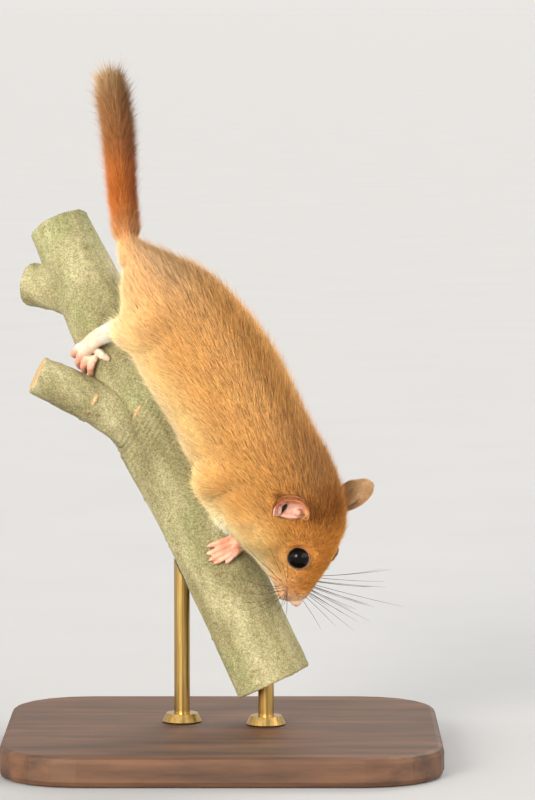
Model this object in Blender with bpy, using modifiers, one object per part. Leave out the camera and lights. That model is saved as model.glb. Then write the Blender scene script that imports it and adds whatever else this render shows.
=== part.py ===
"""Hazel dormouse, life size, climbing head down on a cut length of branch held by a small display stand.

Units are metres and +Z is up. The origin is at the middle of the stand's underside.
Places on the animal and on the perch are written in millimetres as they show from the front:
x to the right, y away from the viewer and z up. The function at() turns them into the part's own frame.
"""

import math
import random

import bmesh
import bpy
import numpy as np
from mathutils import Matrix, Vector

MM = 0.001

# The animal's two sides, as the sign of a sideways place.
RIGHT, LEFT = -1, 1

# Gap kept between two pieces that touch.
GAP = 0.3

# Points of one mesh nearer than this, in metres, are one point.
WELD = 1e-6

# Share of the volume that a sound Boolean leaves at the least.
LEAST_LEFT = {"UNION": 0.98, "DIFFERENCE": 0.2, "INTERSECT": 0.1}

# The front view that the places are read in: its distance, its centre and how much it looks down.
VIEW_DISTANCE = 900.0
VIEW_CENTRE_X = 9.1
VIEW_CENTRE_Z = 67.0
VIEW_DOWN = math.radians(5.0)
ANIMAL_FORWARD_OF_CENTRE = 12.0

# Stand.
BASE_WIDTH = 88.0
BASE_DEPTH = 80.0
BASE_HEIGHT = 6.0
BASE_CORNER = 16.0
BASE_EDGE = 1.2
ROD_RADIUS = 1.6
ROD_FOOT_RADIUS = 4.0
ROD_FOOT_HEIGHT = 1.6

# Perch: the middle line of the branch from its lower cut end to its upper one, with its radius.
BRANCH_LINE = (
    ((10.5, 12.0, 10.7), 7.9),
    ((3.5, 12.3, 25.5), 7.7),
    ((-2.0, 12.5, 37.2), 7.7),
    ((-7.5, 12.5, 48.8), 7.9),
    ((-12.4, 12.6, 59.1), 8.5),
    ((-17.5, 13.0, 70.1), 7.8),
    ((-22.3, 14.0, 80.1), 7.3),
    ((-25.5, 15.4, 87.0), 7.1),
    ((-29.1, 17.2, 94.6), 6.6),
    ((-32.6, 19.6, 102.2), 6.2),
)
BRANCH_SIDES = 20
STUB_LINE = (
    ((-12.4, 12.5, 59.5), 5.4),
    ((-18.2, 9.6, 62.4), 4.9),
    ((-24.4, 7.9, 65.9), 4.3),
    ((-31.0, 6.3, 69.3), 4.1),
    ((-37.0, 5.2, 72.2), 4.0),
)
TWIG_LINE = (
    ((-25.0, 15.4, 86.0), 5.2),
    ((-30.5, 17.0, 88.4), 4.6),
    ((-35.0, 19.0, 89.6), 4.4),
    ((-38.5, 20.6, 90.2), 4.3),
)

# Head frame: the nose tip, the way the nose points, and the way up through the crown.
NOSE_TIP = (14.6, 2.5, 26.2)
HEAD_FORWARD = (-0.017, 0.129, -0.991)
HEAD_UP = (0.835, -0.543, -0.085)

# The way up through the back on the trunk of the body.
BACK_UP = (0.693, -0.643, 0.326)

# Sections of the body from the tail root to the shoulders: middle, half width, height to the back and
# depth to the belly.
BODY_SECTIONS = (
    ((-18.1, 2.5, 98.0), 2.4, 2.4, 2.4),
    ((-16.4, 2.3, 95.6), 4.2, 4.0, 4.4),
    ((-14.3, 2.0, 92.2), 7.0, 6.9, 7.5),
    ((-12.0, 1.6, 88.2), 9.6, 10.2, 10.6),
    ((-9.0, 1.0, 83.3), 11.6, 12.3, 12.2),
    ((-4.9, 0.4, 77.0), 12.9, 13.2, 12.8),
    ((-0.6, 0.0, 71.0), 13.3, 13.3, 12.9),
    ((2.4, 0.0, 65.5), 13.3, 13.2, 13.0),
    ((4.9, 0.0, 60.0), 13.1, 13.2, 13.2),
    ((7.2, 0.0, 55.0), 12.8, 13.6, 13.2),
    ((10.2, 0.0, 50.0), 12.3, 13.9, 12.8),
    ((12.8, 0.0, 45.0), 11.6, 13.3, 12.2),
    ((14.2, 0.2, 40.6), 10.4, 11.8, 11.2),
)
# Sections of the head: distance behind the nose tip, half width, height to the crown, depth to the throat.
HEAD_SECTIONS = (
    (12.0, 8.6, 9.9, 10.3),
    (9.5, 7.1, 8.2, 8.7),
    (7.0, 5.8, 6.3, 6.8),
    (5.0, 5.0, 4.7, 5.2),
    (3.0, 3.8, 3.3, 4.1),
    (1.6, 2.7, 2.3, 2.9),
    (0.7, 1.8, 1.6, 1.8),
    (0.0, 0.7, 0.7, 0.7),
)
BODY_SEGMENTS = 26
BODY_RINGS = 40

# Cuts between the named lengths of the body, as shares of the run from the tail root to the nose tip.
CUT_RUMP_TORSO = 0.33
CUT_TORSO_NECK = 0.64
CUT_NECK_HEAD = 0.74

# Eyes: place in the head frame (behind the nose, sideways, up) and size.
EYE_PLACE = (10.8, 5.9, 4.5)
EYE_RADIUS = 2.35
EYE_HOLLOW = 3.5
LID_RADIUS = 0.42
LID_RISE = 0.9

# Ears: middle of the cup in the head frame, and its size.
EAR_PLACE = {RIGHT: (20.9, 12.6, 6.9), LEFT: (21.4, 11.1, 7.0)}
EAR_LONG = 4.4
EAR_WIDE = 3.9
EAR_DEEP = 2.6
EAR_WALL = 0.6

# Tail: the middle line of its core from the rump to the tip, with the radius of the core.
TAIL_LINE = (
    ((-18.4, 2.5, 97.4), 2.1),
    ((-19.4, 4.5, 103.6), 1.7),
    ((-20.0, 7.5, 109.0), 1.5),
    ((-20.4, 13.0, 115.5), 1.4),
    ((-20.8, 18.5, 120.8), 1.3),
    ((-21.5, 24.0, 125.6), 1.1),
    ((-22.2, 29.0, 129.4), 0.7),
)
TAIL_SIDES = 10
TAIL_TIERS = 8
LOCKS_PER_TIER = 6
# Tiers that grow on the tail's base; the rest grow on its tip.
BASE_TIERS = 4
LOCK_LENGTH = 8.6
LOCK_WIDTH = 3.2
LOCK_THICK = 0.8
LOCK_ROOT_DEPTH = 0.55
# Shares of a lock's length, width and thickness at its root, its widest place and its tip.
LOCK_SHAPE = ((0.0, 0.5, 1.0), (0.42, 1.0, 1.0), (1.0, 0.1, 0.35))
# Reach of the fur from the tail's middle line, at the rump and at the tip.
FUR_REACH = (2.6, 3.5)
# The funnel that parts the two lengths of the tail: its slope, length and sides.
FUNNEL_SLOPE = 0.3
FUNNEL_LENGTH = 45.0
FUNNEL_SIDES = 20

# Limbs: places from the body to the wrist or ankle, with their radius.
FORELEG_RIGHT = (
    ((8.0, -6.5, 53.0), 4.6),
    ((2.5, -6.5, 51.8), 4.8),
    ((-2.9, -3.8, 50.6), 3.9),
    ((-0.9, -0.2, 46.8), 2.9),
    ((1.6, 2.6, 42.6), 2.1),
)
FORELEG_LEFT = (
    ((14.5, 4.5, 50.5), 4.6),
    ((14.8, 9.5, 50.0), 4.2),
    ((13.4, 14.0, 49.2), 3.2),
    ((9.6, 16.3, 45.6), 2.3),
)
HINDLEG_RIGHT = (
    ((-7.5, -5.4, 85.0), 5.8),
    ((-12.0, -5.0, 80.6), 6.4),
    ((-15.8, -2.0, 78.6), 5.2),
    ((-18.6, 1.4, 80.2), 3.8),
    ((-20.6, 3.6, 80.9), 2.4),
)
HINDLEG_LEFT = (
    ((-4.6, 7.4, 84.6), 5.2),
    ((-5.0, 11.5, 81.6), 5.2),
    ((-7.6, 14.8, 80.6), 4.2),
    ((-11.8, 17.4, 82.0), 2.8),
)

# Feet on the bark. A spot is millimetres along the branch and degrees round from the near side.
# Each foot has two spots under its palm or sole, then the root and tip of each toe and of the thumb.
HAND_SOLE = ((30.4, 44), (28.6, 34))
HAND_TOES = (
    ((29.8, 27), (31.0, 0)),
    ((29.2, 20), (29.4, -9)),
    ((28.0, 18), (27.4, -8)),
    ((26.8, 22), (25.9, 4)),
    ((27.4, 36), (25.6, 26)),
)
FOOT_SOLE = ((77.0, -12), (76.4, -34))
FOOT_TOES = (
    ((77.4, -50), (77.0, -92)),
    ((76.2, -48), (74.4, -88)),
    ((75.0, -42), (72.9, -73)),
    ((74.0, -35), (71.8, -56)),
    ((74.6, -22), (71.8, -13)),
)
# Radii of the palm or sole, of a toe and of its tip.
HAND_SIZES = (1.6, 0.72, 0.48)
FOOT_SIZES = (1.8, 0.8, 0.52)
CLAW_RADII = (0.34, 0.30, 0.12)
# How a spot is carried over for each foot: shift along the branch, turn round it and which way it counts.
NEAR_SIDE = (0.0, 0, 1)
FAR_HAND = (3.0, 144, -1)
FAR_FOOT = (1.0, 105, -1)
LIMBS = (
    ("foreleg_right", "forefoot_right", FORELEG_RIGHT, HAND_SOLE, HAND_TOES, HAND_SIZES, NEAR_SIDE),
    ("foreleg_left", "forefoot_left", FORELEG_LEFT, HAND_SOLE, HAND_TOES, HAND_SIZES, FAR_HAND),
    ("hindleg_right", "hindfoot_right", HINDLEG_RIGHT, FOOT_SOLE, FOOT_TOES, FOOT_SIZES, NEAR_SIDE),
    ("hindleg_left", "hindfoot_left", HINDLEG_LEFT, FOOT_SOLE, FOOT_TOES, FOOT_SIZES, FAR_FOOT),
)

# Muzzle: whisker pads, nose, mouth line and nostrils, in the head frame.
PAD_PLACE = (3.5, 1.9, -1.0)
PAD_SIZE = (2.7, 2.35, 2.2)
NOSE_PLACE = (0.5, 0.0, 0.35)
NOSE_SIZE = (1.0, 1.25, 0.95)
NOSTRIL_PLACE = (-0.35, 0.62, 0.35)
NOSTRIL_SIZE = (0.8, 0.34, 0.34)
MOUTH_LINE = ((6.6, 4.3, -4.2), (4.6, 3.2, -4.0), (2.9, 2.1, -3.5), (1.6, 1.0, -2.9), (1.05, 0.0, -2.45))
MOUTH_GROOVE = 0.36

WHISKERS = 10
WHISKERS_PER_ROW = 4
WHISKER_ROOT = 0.26
WHISKER_LENGTHS = (13.0, 26.0)

# The way each ear's cup opens, in the head frame: forward, to its own side, and up.
EAR_OPENING = {RIGHT: (0.79, 0.48, 0.385), LEFT: (0.62, 0.72, 0.15)}
# The share of the cup's depth at which its rim is cut.
EAR_RIM = 0.3

# Places of the two rods along the branch, and how far they reach into its shadow before they are cut to it.
ROD_LOW_ALONG = 4.0
ROD_HIGH_ALONG = 44.0
ROD_REACH = 7.0

# Colour, roughness and metallic value of each sub-part.
ORANGE = (0.52, 0.21, 0.05)
GOLD = (0.60, 0.29, 0.09)
PINK = (0.62, 0.33, 0.25)
BARK = (0.24, 0.23, 0.15)
FINISHES = {
    "head": (ORANGE, 0.85, 0.0),
    "neck": (GOLD, 0.85, 0.0),
    "torso": (GOLD, 0.85, 0.0),
    "rump": (ORANGE, 0.85, 0.0),
    "tail_base": (ORANGE, 0.9, 0.0),
    "tail_tip": ((0.42, 0.20, 0.08), 0.9, 0.0),
    "foreleg_right": (GOLD, 0.85, 0.0),
    "foreleg_left": (GOLD, 0.85, 0.0),
    "hindleg_right": (GOLD, 0.85, 0.0),
    "hindleg_left": (GOLD, 0.85, 0.0),
    "forefoot_right": (PINK, 0.55, 0.0),
    "forefoot_left": (PINK, 0.55, 0.0),
    "hindfoot_right": ((0.66, 0.45, 0.36), 0.55, 0.0),
    "hindfoot_left": ((0.66, 0.45, 0.36), 0.55, 0.0),
    "ear_right": ((0.60, 0.30, 0.18), 0.6, 0.0),
    "ear_left": ((0.56, 0.27, 0.12), 0.6, 0.0),
    "eye_right": ((0.004, 0.003, 0.003), 0.06, 0.0),
    "eye_left": ((0.004, 0.003, 0.003), 0.06, 0.0),
    "perch_branch": (BARK, 0.8, 0.0),
    "perch_stub": (BARK, 0.8, 0.0),
    "perch_twig": (BARK, 0.8, 0.0),
    "stand_base": ((0.13, 0.065, 0.03), 0.4, 0.0),
    "stand_rod_low": ((0.55, 0.40, 0.18), 0.28, 1.0),
    "stand_rod_high": ((0.55, 0.40, 0.18), 0.28, 1.0),
}

def clear_scene():
    for thing in list(bpy.data.objects):
        bpy.data.objects.remove(thing)


def at(place):
    """The part's own frame, in metres, of a place written as it shows from the front."""
    x, y, z = place
    spread = 1 + y / VIEW_DISTANCE
    x = VIEW_CENTRE_X + (x - VIEW_CENTRE_X) * spread
    z = VIEW_CENTRE_Z + (z - VIEW_CENTRE_Z) * spread
    deep = y * math.cos(VIEW_DOWN) + z * math.sin(VIEW_DOWN) - ANIMAL_FORWARD_OF_CENTRE
    high = z * math.cos(VIEW_DOWN) - y * math.sin(VIEW_DOWN) + BASE_HEIGHT
    return Vector((x, deep, high)) * MM


def turned(direction):
    """A direction of the front view in the part's own frame."""
    return (Matrix.Rotation(-VIEW_DOWN, 3, "X") @ Vector(direction)).normalized()


def finish(thing):
    """Gives the object its own material."""
    colour, roughness, metallic = FINISHES[thing.name]
    made = bpy.data.materials.new(thing.name)
    made.use_nodes = True
    shader = made.node_tree.nodes["Principled BSDF"]
    shader.inputs["Base Color"].default_value = (*colour, 1.0)
    shader.inputs["Roughness"].default_value = roughness
    shader.inputs["Metallic"].default_value = metallic
    thing.data.materials.clear()
    thing.data.materials.append(made)


def new_object(name, mesh, collection):
    thing = bpy.data.objects.new(name, mesh)
    collection.objects.link(thing)
    return thing


def mesh_from(name, points, faces, collection):
    mesh = bpy.data.meshes.new(name)
    mesh.from_pydata([tuple(p) for p in points], [], faces)
    mesh.update()
    return new_object(name, mesh, collection)


def discard(thing):
    bpy.data.objects.remove(thing)


def bake(thing):
    """Turns the object's modifiers into its own mesh."""
    graph = bpy.context.evaluated_depsgraph_get()
    mesh = bpy.data.meshes.new_from_object(thing.evaluated_get(graph))
    thing.modifiers.clear()
    thing.data = mesh


def keep_largest(thing):
    """Keeps the largest closed surface of the mesh and drops loose scraps and sealed hollows."""
    work = bmesh.new()
    work.from_mesh(thing.data)
    left = set(work.verts)
    groups = []
    while left:
        todo = [left.pop()]
        group = set(todo)
        while todo:
            for edge in todo.pop().link_edges:
                for vert in edge.verts:
                    if vert in left:
                        left.discard(vert)
                        group.add(vert)
                        todo.append(vert)
        groups.append(group)
    groups.sort(key=spread_of, reverse=True)
    for group in groups[1:]:
        bmesh.ops.delete(work, geom=list(group), context="VERTS")
    work.to_mesh(thing.data)
    work.free()


def spread_of(group):
    """Diagonal of the box round a set of vertices."""
    places = np.array([vert.co for vert in group])
    return float(np.linalg.norm(places.max(axis=0) - places.min(axis=0)))


def closed_volume(mesh):
    """The volume inside the mesh, or nothing where some edge hasn't exactly two faces."""
    work = bmesh.new()
    work.from_mesh(mesh)
    closed = len(work.faces) > 0 and all(edge.is_manifold for edge in work.edges)
    volume = work.calc_volume() if closed else 0.0
    work.free()
    return volume


def solve(thing, settings, solvers=("EXACT", "MANIFOLD")):
    """Runs one Boolean with the exact solver, or with the manifold one where that loses the shape."""
    before = thing.data
    least = LEAST_LEFT[settings["operation"]] * closed_volume(before)
    for solver in solvers:
        thing.data = before.copy()
        step = thing.modifiers.new("join", "BOOLEAN")
        step.solver = solver
        for key, value in settings.items():
            setattr(step, key, value)
        bake(thing)
        keep_largest(thing)
        if closed_volume(thing.data) > least:
            break


def cut(thing, cutter):
    solve(thing, {"operation": "DIFFERENCE", "object": cutter})


def cut_with_mould(thing, mould):
    """A cut by a grown copy, which may cross itself in its hollows, as only the manifold solver allows."""
    solve(thing, {"operation": "DIFFERENCE", "object": mould}, ("MANIFOLD",))


def join_all(thing, pieces):
    """Joins closed pieces to the object in one union, and removes them."""
    group = bpy.data.collections.new("joining")
    bpy.context.scene.collection.children.link(group)
    for piece in pieces:
        group.objects.link(piece)
    solve(thing, {"operation": "UNION", "operand_type": "COLLECTION", "collection": group})
    for piece in pieces:
        discard(piece)
    bpy.data.collections.remove(group)


def grown_copy(thing, by, collection):
    """A helper copy of the object, larger by the given number of millimetres on every side."""
    copy = new_object(thing.name + "_grown", thing.data.copy(), collection)
    copy.matrix_world = thing.matrix_world
    swell = copy.modifiers.new("swell", "DISPLACE")
    swell.mid_level = 0.0
    swell.strength = by * MM
    bake(copy)
    copy.hide_render = True
    copy.display_type = "WIRE"
    return copy


def smooth_run(points, count):
    """Evenly spaced places on a smooth curve through rows of numbers."""
    rows = np.array(points, dtype=float)
    ends = np.vstack([2 * rows[0] - rows[1], rows, 2 * rows[-1] - rows[-2]])
    steps = np.linspace(0, len(rows) - 1, 40 * len(rows))
    fine = []
    for step in steps:
        i = min(int(step), len(rows) - 2)
        t = step - i
        a, b, c, d = ends[i : i + 4]
        fine.append(
            b + 0.5 * t * (c - a + t * (2 * a - 5 * b + 4 * c - d + t * (3 * (b - c) + d - a)))
        )
    fine = np.array(fine)
    lengths = np.linalg.norm(np.diff(fine[:, :3], axis=0), axis=1)
    along = np.concatenate([[0], np.cumsum(lengths)])
    wanted = np.linspace(0, along[-1], count)
    return np.stack([np.interp(wanted, along, fine[:, k]) for k in range(rows.shape[1])], axis=1)


def loft(name, rings, collection):
    """A closed skin over a run of rings that all have the same number of points."""
    sides = len(rings[0])
    points = [p for ring in rings for p in ring]
    faces = []
    for i in range(len(rings) - 1):
        for j in range(sides):
            k = (j + 1) % sides
            low = i * sides
            faces.append((low + j, low + k, low + sides + k, low + sides + j))
    last = (len(rings) - 1) * sides
    faces.append(tuple(range(sides))[::-1])
    faces.append(tuple(last + j for j in range(sides)))
    return mesh_from(name, points, faces, collection)


def tube(name, line, count, sides, collection, round_start=True, round_end=True):
    """A tapered tube along places given with their radius, with rounded ends where asked."""
    rows = [(*at(place), radius * MM) for place, radius in line]
    return tube_of(name, rows, count, sides, collection, round_start, round_end)


def tube_of(name, rows, count, sides, collection, round_start=True, round_end=True):
    run = smooth_run(rows, count)
    if round_start:
        run = np.vstack([dome(run[0], run[1], sides), run])
    if round_end:
        run = np.vstack([run, dome(run[-1], run[-2], sides)[::-1]])
    data = bpy.data.curves.new(name, "CURVE")
    data.dimensions = "3D"
    data.bevel_depth = 1.0
    data.bevel_resolution = sides // 2 - 2
    data.use_fill_caps = True
    spline = data.splines.new("POLY")
    spline.points.add(len(run) - 1)
    for point, row in zip(spline.points, run):
        point.co = (*row[:3], 1.0)
        point.radius = row[3]
    return solid_curve(name, data, collection)


def solid_curve(name, data, collection):
    """The closed mesh of a round curve."""
    guide = new_object(name + "_guide", data, collection)
    graph = bpy.context.evaluated_depsgraph_get()
    mesh = bpy.data.meshes.new_from_object(guide.evaluated_get(graph))
    discard(guide)
    work = bmesh.new()
    work.from_mesh(mesh)
    bmesh.ops.remove_doubles(work, verts=work.verts, dist=WELD)
    bmesh.ops.recalc_face_normals(work, faces=work.faces)
    work.to_mesh(mesh)
    work.free()
    return new_object(name, mesh, collection)


def dome(end, inner, sides):
    """Smaller rings that round off the end of a tube: one on a thin tube, two on a thick one."""
    out = end[:3] - inner[:3]
    out = out / np.linalg.norm(out)
    rows = []
    for turn in (math.radians(72), math.radians(40)) if sides > 8 else (math.radians(55),):
        place = end[:3] + out * end[3] * math.sin(turn)
        rows.append([*place, end[3] * math.cos(turn)])
    return np.array(rows)


def ball(name, centre, size, axes, collection, segments=16, rings=10):
    """An ellipsoid with half sizes in millimetres along the three given axes."""
    mesh = bpy.data.meshes.new(name)
    work = bmesh.new()
    bmesh.ops.create_uvsphere(work, u_segments=segments, v_segments=rings, radius=1.0)
    work.to_mesh(mesh)
    work.free()
    thing = new_object(name, mesh, collection)
    turn = Matrix(axes).transposed().to_4x4()
    scale = Matrix.Diagonal((*(s * MM for s in size), 1.0))
    mesh.transform(Matrix.Translation(centre) @ turn @ scale)
    return thing


class HeadFrame:
    """The head's own axes: back from the nose tip, to the animal's left, and up through the crown."""

    tip = at(NOSE_TIP)
    forward = turned(HEAD_FORWARD)
    up = (turned(HEAD_UP) - turned(HEAD_UP).project(turned(HEAD_FORWARD))).normalized()
    left = up.cross(forward).normalized()

    @classmethod
    def point(cls, back, left, up):
        return cls.tip + (-cls.forward * back + cls.left * left + cls.up * up) * MM

    @classmethod
    def way(cls, forward, left, up):
        return (cls.forward * forward + cls.left * left + cls.up * up).normalized()


def body_rows():
    """Rows of middle, up direction and the three half sizes, from the tail root to the nose tip."""
    rows = []
    for place, width, top, bottom in BODY_SECTIONS:
        rows.append((*at(place), *turned(BACK_UP), width * MM, top * MM, bottom * MM))
    for back, width, top, bottom in HEAD_SECTIONS:
        rows.append((*HeadFrame.point(back, 0, 0), *HeadFrame.up, width * MM, top * MM, bottom * MM))
    return rows


def section_axes(run, i):
    """The way forward, left and up of the body at one of its rings."""
    here = Vector(run[min(i + 1, len(run) - 1)][:3])
    before = Vector(run[max(i - 1, 0)][:3])
    forward = (here - before).normalized()
    up = Vector(run[i][3:6])
    up = (up - up.project(forward)).normalized()
    return forward, up.cross(forward), up


def body_ring(run, i, segments):
    """One section of the body, an egg with its own height above and depth below the middle."""
    forward, left, up = section_axes(run, i)
    middle = Vector(run[i][:3])
    width, top, bottom = run[i][6:9]
    ring = []
    for j in range(segments):
        turn = 2 * math.pi * j / segments
        side = math.cos(turn)
        rise = math.sin(turn)
        ring.append(middle + left * side * width + up * rise * (top if rise > 0 else bottom))
    return ring


def whole_body(collection):
    run = smooth_run(body_rows(), BODY_RINGS)
    rings = [body_ring(run, i, BODY_SEGMENTS) for i in range(len(run))]
    return loft("whole_body", rings, collection)


def cut_plane(share):
    """A place on the body's middle line and the way forward there."""
    run = smooth_run(body_rows(), BODY_RINGS)
    i = round(share * (len(run) - 1))
    return Vector(run[i][:3]), section_axes(run, i)[0]


def part_of(whole, name, collection, behind=None, ahead=None):
    """The length of a closed mesh between two planes, with half a gap left at each."""
    thing = new_object(name, whole.data.copy(), collection)
    work = bmesh.new()
    work.from_mesh(thing.data)
    for plane, side in ((behind, 1), (ahead, -1)):
        if plane is None:
            continue
        place, way = plane
        bmesh.ops.bisect_plane(
            work,
            geom=[*work.verts, *work.edges, *work.faces],
            plane_co=place + way * side * GAP * MM / 2,
            plane_no=way * side,
            clear_inner=True,
        )
        open_edges = [edge for edge in work.edges if edge.is_boundary]
        bmesh.ops.holes_fill(work, edges=open_edges, sides=0)
    bmesh.ops.recalc_face_normals(work, faces=work.faces)
    work.to_mesh(thing.data)
    work.free()
    return thing


class Branch:
    """The branch's middle line, for setting things on its bark."""

    rows = smooth_run([(*at(place), radius * MM) for place, radius in BRANCH_LINE], 120)
    lengths = np.linalg.norm(np.diff(rows[:, :3], axis=0), axis=1)
    along = np.concatenate([[0], np.cumsum(lengths)]) / MM
    near = turned((0, -1, 0))

    @classmethod
    def point(cls, along, turn, height):
        """A place above the bark: millimetres along it, degrees round from the near side, and height."""
        row = np.array([np.interp(along, cls.along, cls.rows[:, k]) for k in range(4)])
        ahead = [np.interp(along + 2, cls.along, cls.rows[:, k]) for k in range(3)]
        up_line = (Vector(ahead) - Vector(row[:3])).normalized()
        near = (cls.near - cls.near.project(up_line)).normalized()
        right = up_line.cross(near)
        angle = math.radians(turn)
        out = near * math.cos(angle) + right * math.sin(angle)
        return Vector(row[:3]) + out * (row[3] + height * MM)


def rows_of(places):
    """Rows for a tube from places in the part's frame with their radius in millimetres."""
    return [(*place, radius * MM) for place, radius in places]


def digit(name, root, tip, sizes, collection):
    """A toe arched over the bark from its root to its tip, with its claw."""
    thick, thin = sizes
    middle = [(a + b) / 2 for a, b in zip(root, tip)]
    before = [a * 0.15 + b * 0.85 for a, b in zip(root, tip)]
    past = [b + (b - a) * 0.26 for a, b in zip(root, tip)]
    places = (
        (Branch.point(*root, thick + 0.5), thick * 1.1),
        (Branch.point(*middle, thick + 0.75), thick),
        (Branch.point(*before, thin + 0.5), thin * 1.15),
        (Branch.point(*tip, thin + GAP), thin),
    )
    toe = tube_of(name, rows_of(places), 4, 6, collection)
    claw_places = (
        (Branch.point(*before, thin + 0.75), CLAW_RADII[0]),
        (Branch.point(*tip, thin + 0.8), CLAW_RADII[1]),
        (Branch.point(*past, 0.42), CLAW_RADII[2]),
    )
    claw = tube_of(name + "_claw", rows_of(claw_places), 3, 4, collection, True, False)
    return [toe, claw]


def carried(spot, carry):
    """A foot's spot on the branch, carried over to the far side for a far foot."""
    shift, swing, hand = carry
    return spot[0] + shift, swing + hand * spot[1]


def limb(leg_name, foot_name, leg, sole, toes, sizes, carry, parts, helpers):
    """A leg and its foot, which meet at the wrist or ankle, and a mould of each for cutting the body."""
    palm, thick, thin = sizes
    places = [(at(place), radius) for place, radius in leg]
    sole_places = [(Branch.point(*carried(spot, carry), palm + 0.45), palm) for spot in sole]
    run = smooth_run(rows_of(places + sole_places), 18)
    split = next(i for i, row in enumerate(run) if i > 8 and row[3] < 1.25 * palm * MM)
    upper = tube_of(leg_name, run[: split + 1], split + 1, 10, parts, True, False)
    mould = grown_copy(upper, GAP, helpers)
    lower_rows = run[split:].copy()
    way = lower_rows[1][:3] - lower_rows[0][:3]
    lower_rows[0][:3] += way / np.linalg.norm(way) * GAP * MM
    foot = tube_of(foot_name, lower_rows, 5, 8, parts, False, True)
    pieces = []
    for i, (root, tip) in enumerate(toes):
        pieces += digit(f"toe_{i}", carried(root, carry), carried(tip, carry), (thick, thin), helpers)
    join_all(foot, pieces)
    foot_mould = grown_copy(foot, 1.5 * GAP, helpers)
    cut_with_mould(upper, foot_mould)
    return upper, [mould, foot_mould]


def eye_axes(side):
    """The way an eye looks, and two ways across it."""
    out = HeadFrame.way(0.12, side * 0.86, 0.46)
    across = (HeadFrame.forward - HeadFrame.forward.project(out)).normalized()
    return across, out.cross(across), out


def eye(name, side, collection):
    back, out, up = EYE_PLACE
    centre = HeadFrame.point(back, side * out, up)
    return ball(name, centre, (EYE_RADIUS,) * 3, eye_axes(side), collection, 16, 10)


def ring(name, centre, axes, radius, thick, collection, sides=16):
    """A closed round ring."""
    run = []
    for j in range(sides):
        turn = 2 * math.pi * j / sides
        place = centre + (axes[0] * math.cos(turn) + axes[1] * math.sin(turn)) * radius * MM
        run.append(place)
    data = bpy.data.curves.new(name, "CURVE")
    data.dimensions = "3D"
    data.bevel_depth = thick * MM
    data.bevel_resolution = 1
    spline = data.splines.new("POLY")
    spline.points.add(sides - 1)
    spline.use_cyclic_u = True
    for point, place in zip(spline.points, run):
        point.co = (*place, 1.0)
    return solid_curve(name, data, collection)


def whisker(i, side, draw, collection):
    """One bristle from the whisker pad, bending back a little toward its tip."""
    row, place = divmod(i, WHISKERS_PER_ROW)
    back = PAD_PLACE[0] - 0.9 + 0.75 * place
    rise = PAD_PLACE[2] + 1.5 - 0.95 * row
    root = HeadFrame.point(back, side * 2.6, rise)
    sweep = 0.55 - 0.32 * place + draw.uniform(-0.12, 0.12)
    lift = 0.55 - 0.45 * row + draw.uniform(-0.1, 0.1)
    length = draw.uniform(*WHISKER_LENGTHS) * (0.7 + 0.1 * place)
    out = HeadFrame.way(sweep, side * 0.9, lift)
    bend = HeadFrame.way(sweep - 0.3, side * 0.9, lift - 0.1)
    places = (
        (root, WHISKER_ROOT),
        (root + out * length * 0.5 * MM, WHISKER_ROOT * 0.7),
        (root + (out + bend) * length * 0.5 * MM, WHISKER_ROOT * 0.25),
    )
    return tube_of("whisker", rows_of(places), 3, 4, collection, False, False)


def finish_head(head, eyes, parts, helpers):
    """Whisker pads, nose, lids, mouth line, nostrils and whiskers."""
    axes = (HeadFrame.forward, HeadFrame.left, HeadFrame.up)
    pieces = [ball("nose", HeadFrame.point(*NOSE_PLACE), NOSE_SIZE, axes, helpers, 14, 8)]
    for side in (RIGHT, LEFT):
        back, out, up = PAD_PLACE
        pad_centre = HeadFrame.point(back, side * out, up)
        pieces.append(ball("pad", pad_centre, PAD_SIZE, axes, helpers, 14, 9))
        centre = HeadFrame.point(EYE_PLACE[0], side * EYE_PLACE[1], EYE_PLACE[2])
        eye_ways = eye_axes(side)
        lid_centre = centre + eye_ways[2] * LID_RISE * MM
        hollow_centre = centre + eye_ways[2] * EYE_RADIUS * MM
        hollow_size = (EYE_HOLLOW, EYE_HOLLOW, EYE_RADIUS - LID_RISE)
        hollow = ball("hollow", hollow_centre, hollow_size, eye_ways, helpers, 14, 8)
        cut(head, hollow)
        discard(hollow)
        pieces.append(ring("lid", lid_centre, eye_ways, EYE_RADIUS + 0.2, LID_RADIUS, helpers))
    join_all(head, pieces)
    for thing in eyes:
        socket = grown_copy(thing, GAP, helpers)
        cut_with_mould(head, socket)
        discard(socket)
    mouth_right = [(HeadFrame.point(b, -l, u), MOUTH_GROOVE) for b, l, u in MOUTH_LINE]
    mouth_left = [(HeadFrame.point(b, l, u), MOUTH_GROOVE) for b, l, u in MOUTH_LINE[:-1]]
    groove = tube_of("groove", rows_of(mouth_right + mouth_left[::-1]), 20, 6, helpers)
    cut(head, groove)
    discard(groove)
    for side in (RIGHT, LEFT):
        back, out, up = NOSTRIL_PLACE
        hole = ball("nostril", HeadFrame.point(back, side * out, up), NOSTRIL_SIZE, axes, helpers, 8, 6)
        cut(head, hole)
        discard(hole)
    draw = random.Random(7)
    bristles = [whisker(i, side, draw, helpers) for side in (RIGHT, LEFT) for i in range(WHISKERS)]
    join_all(head, bristles)


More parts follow.
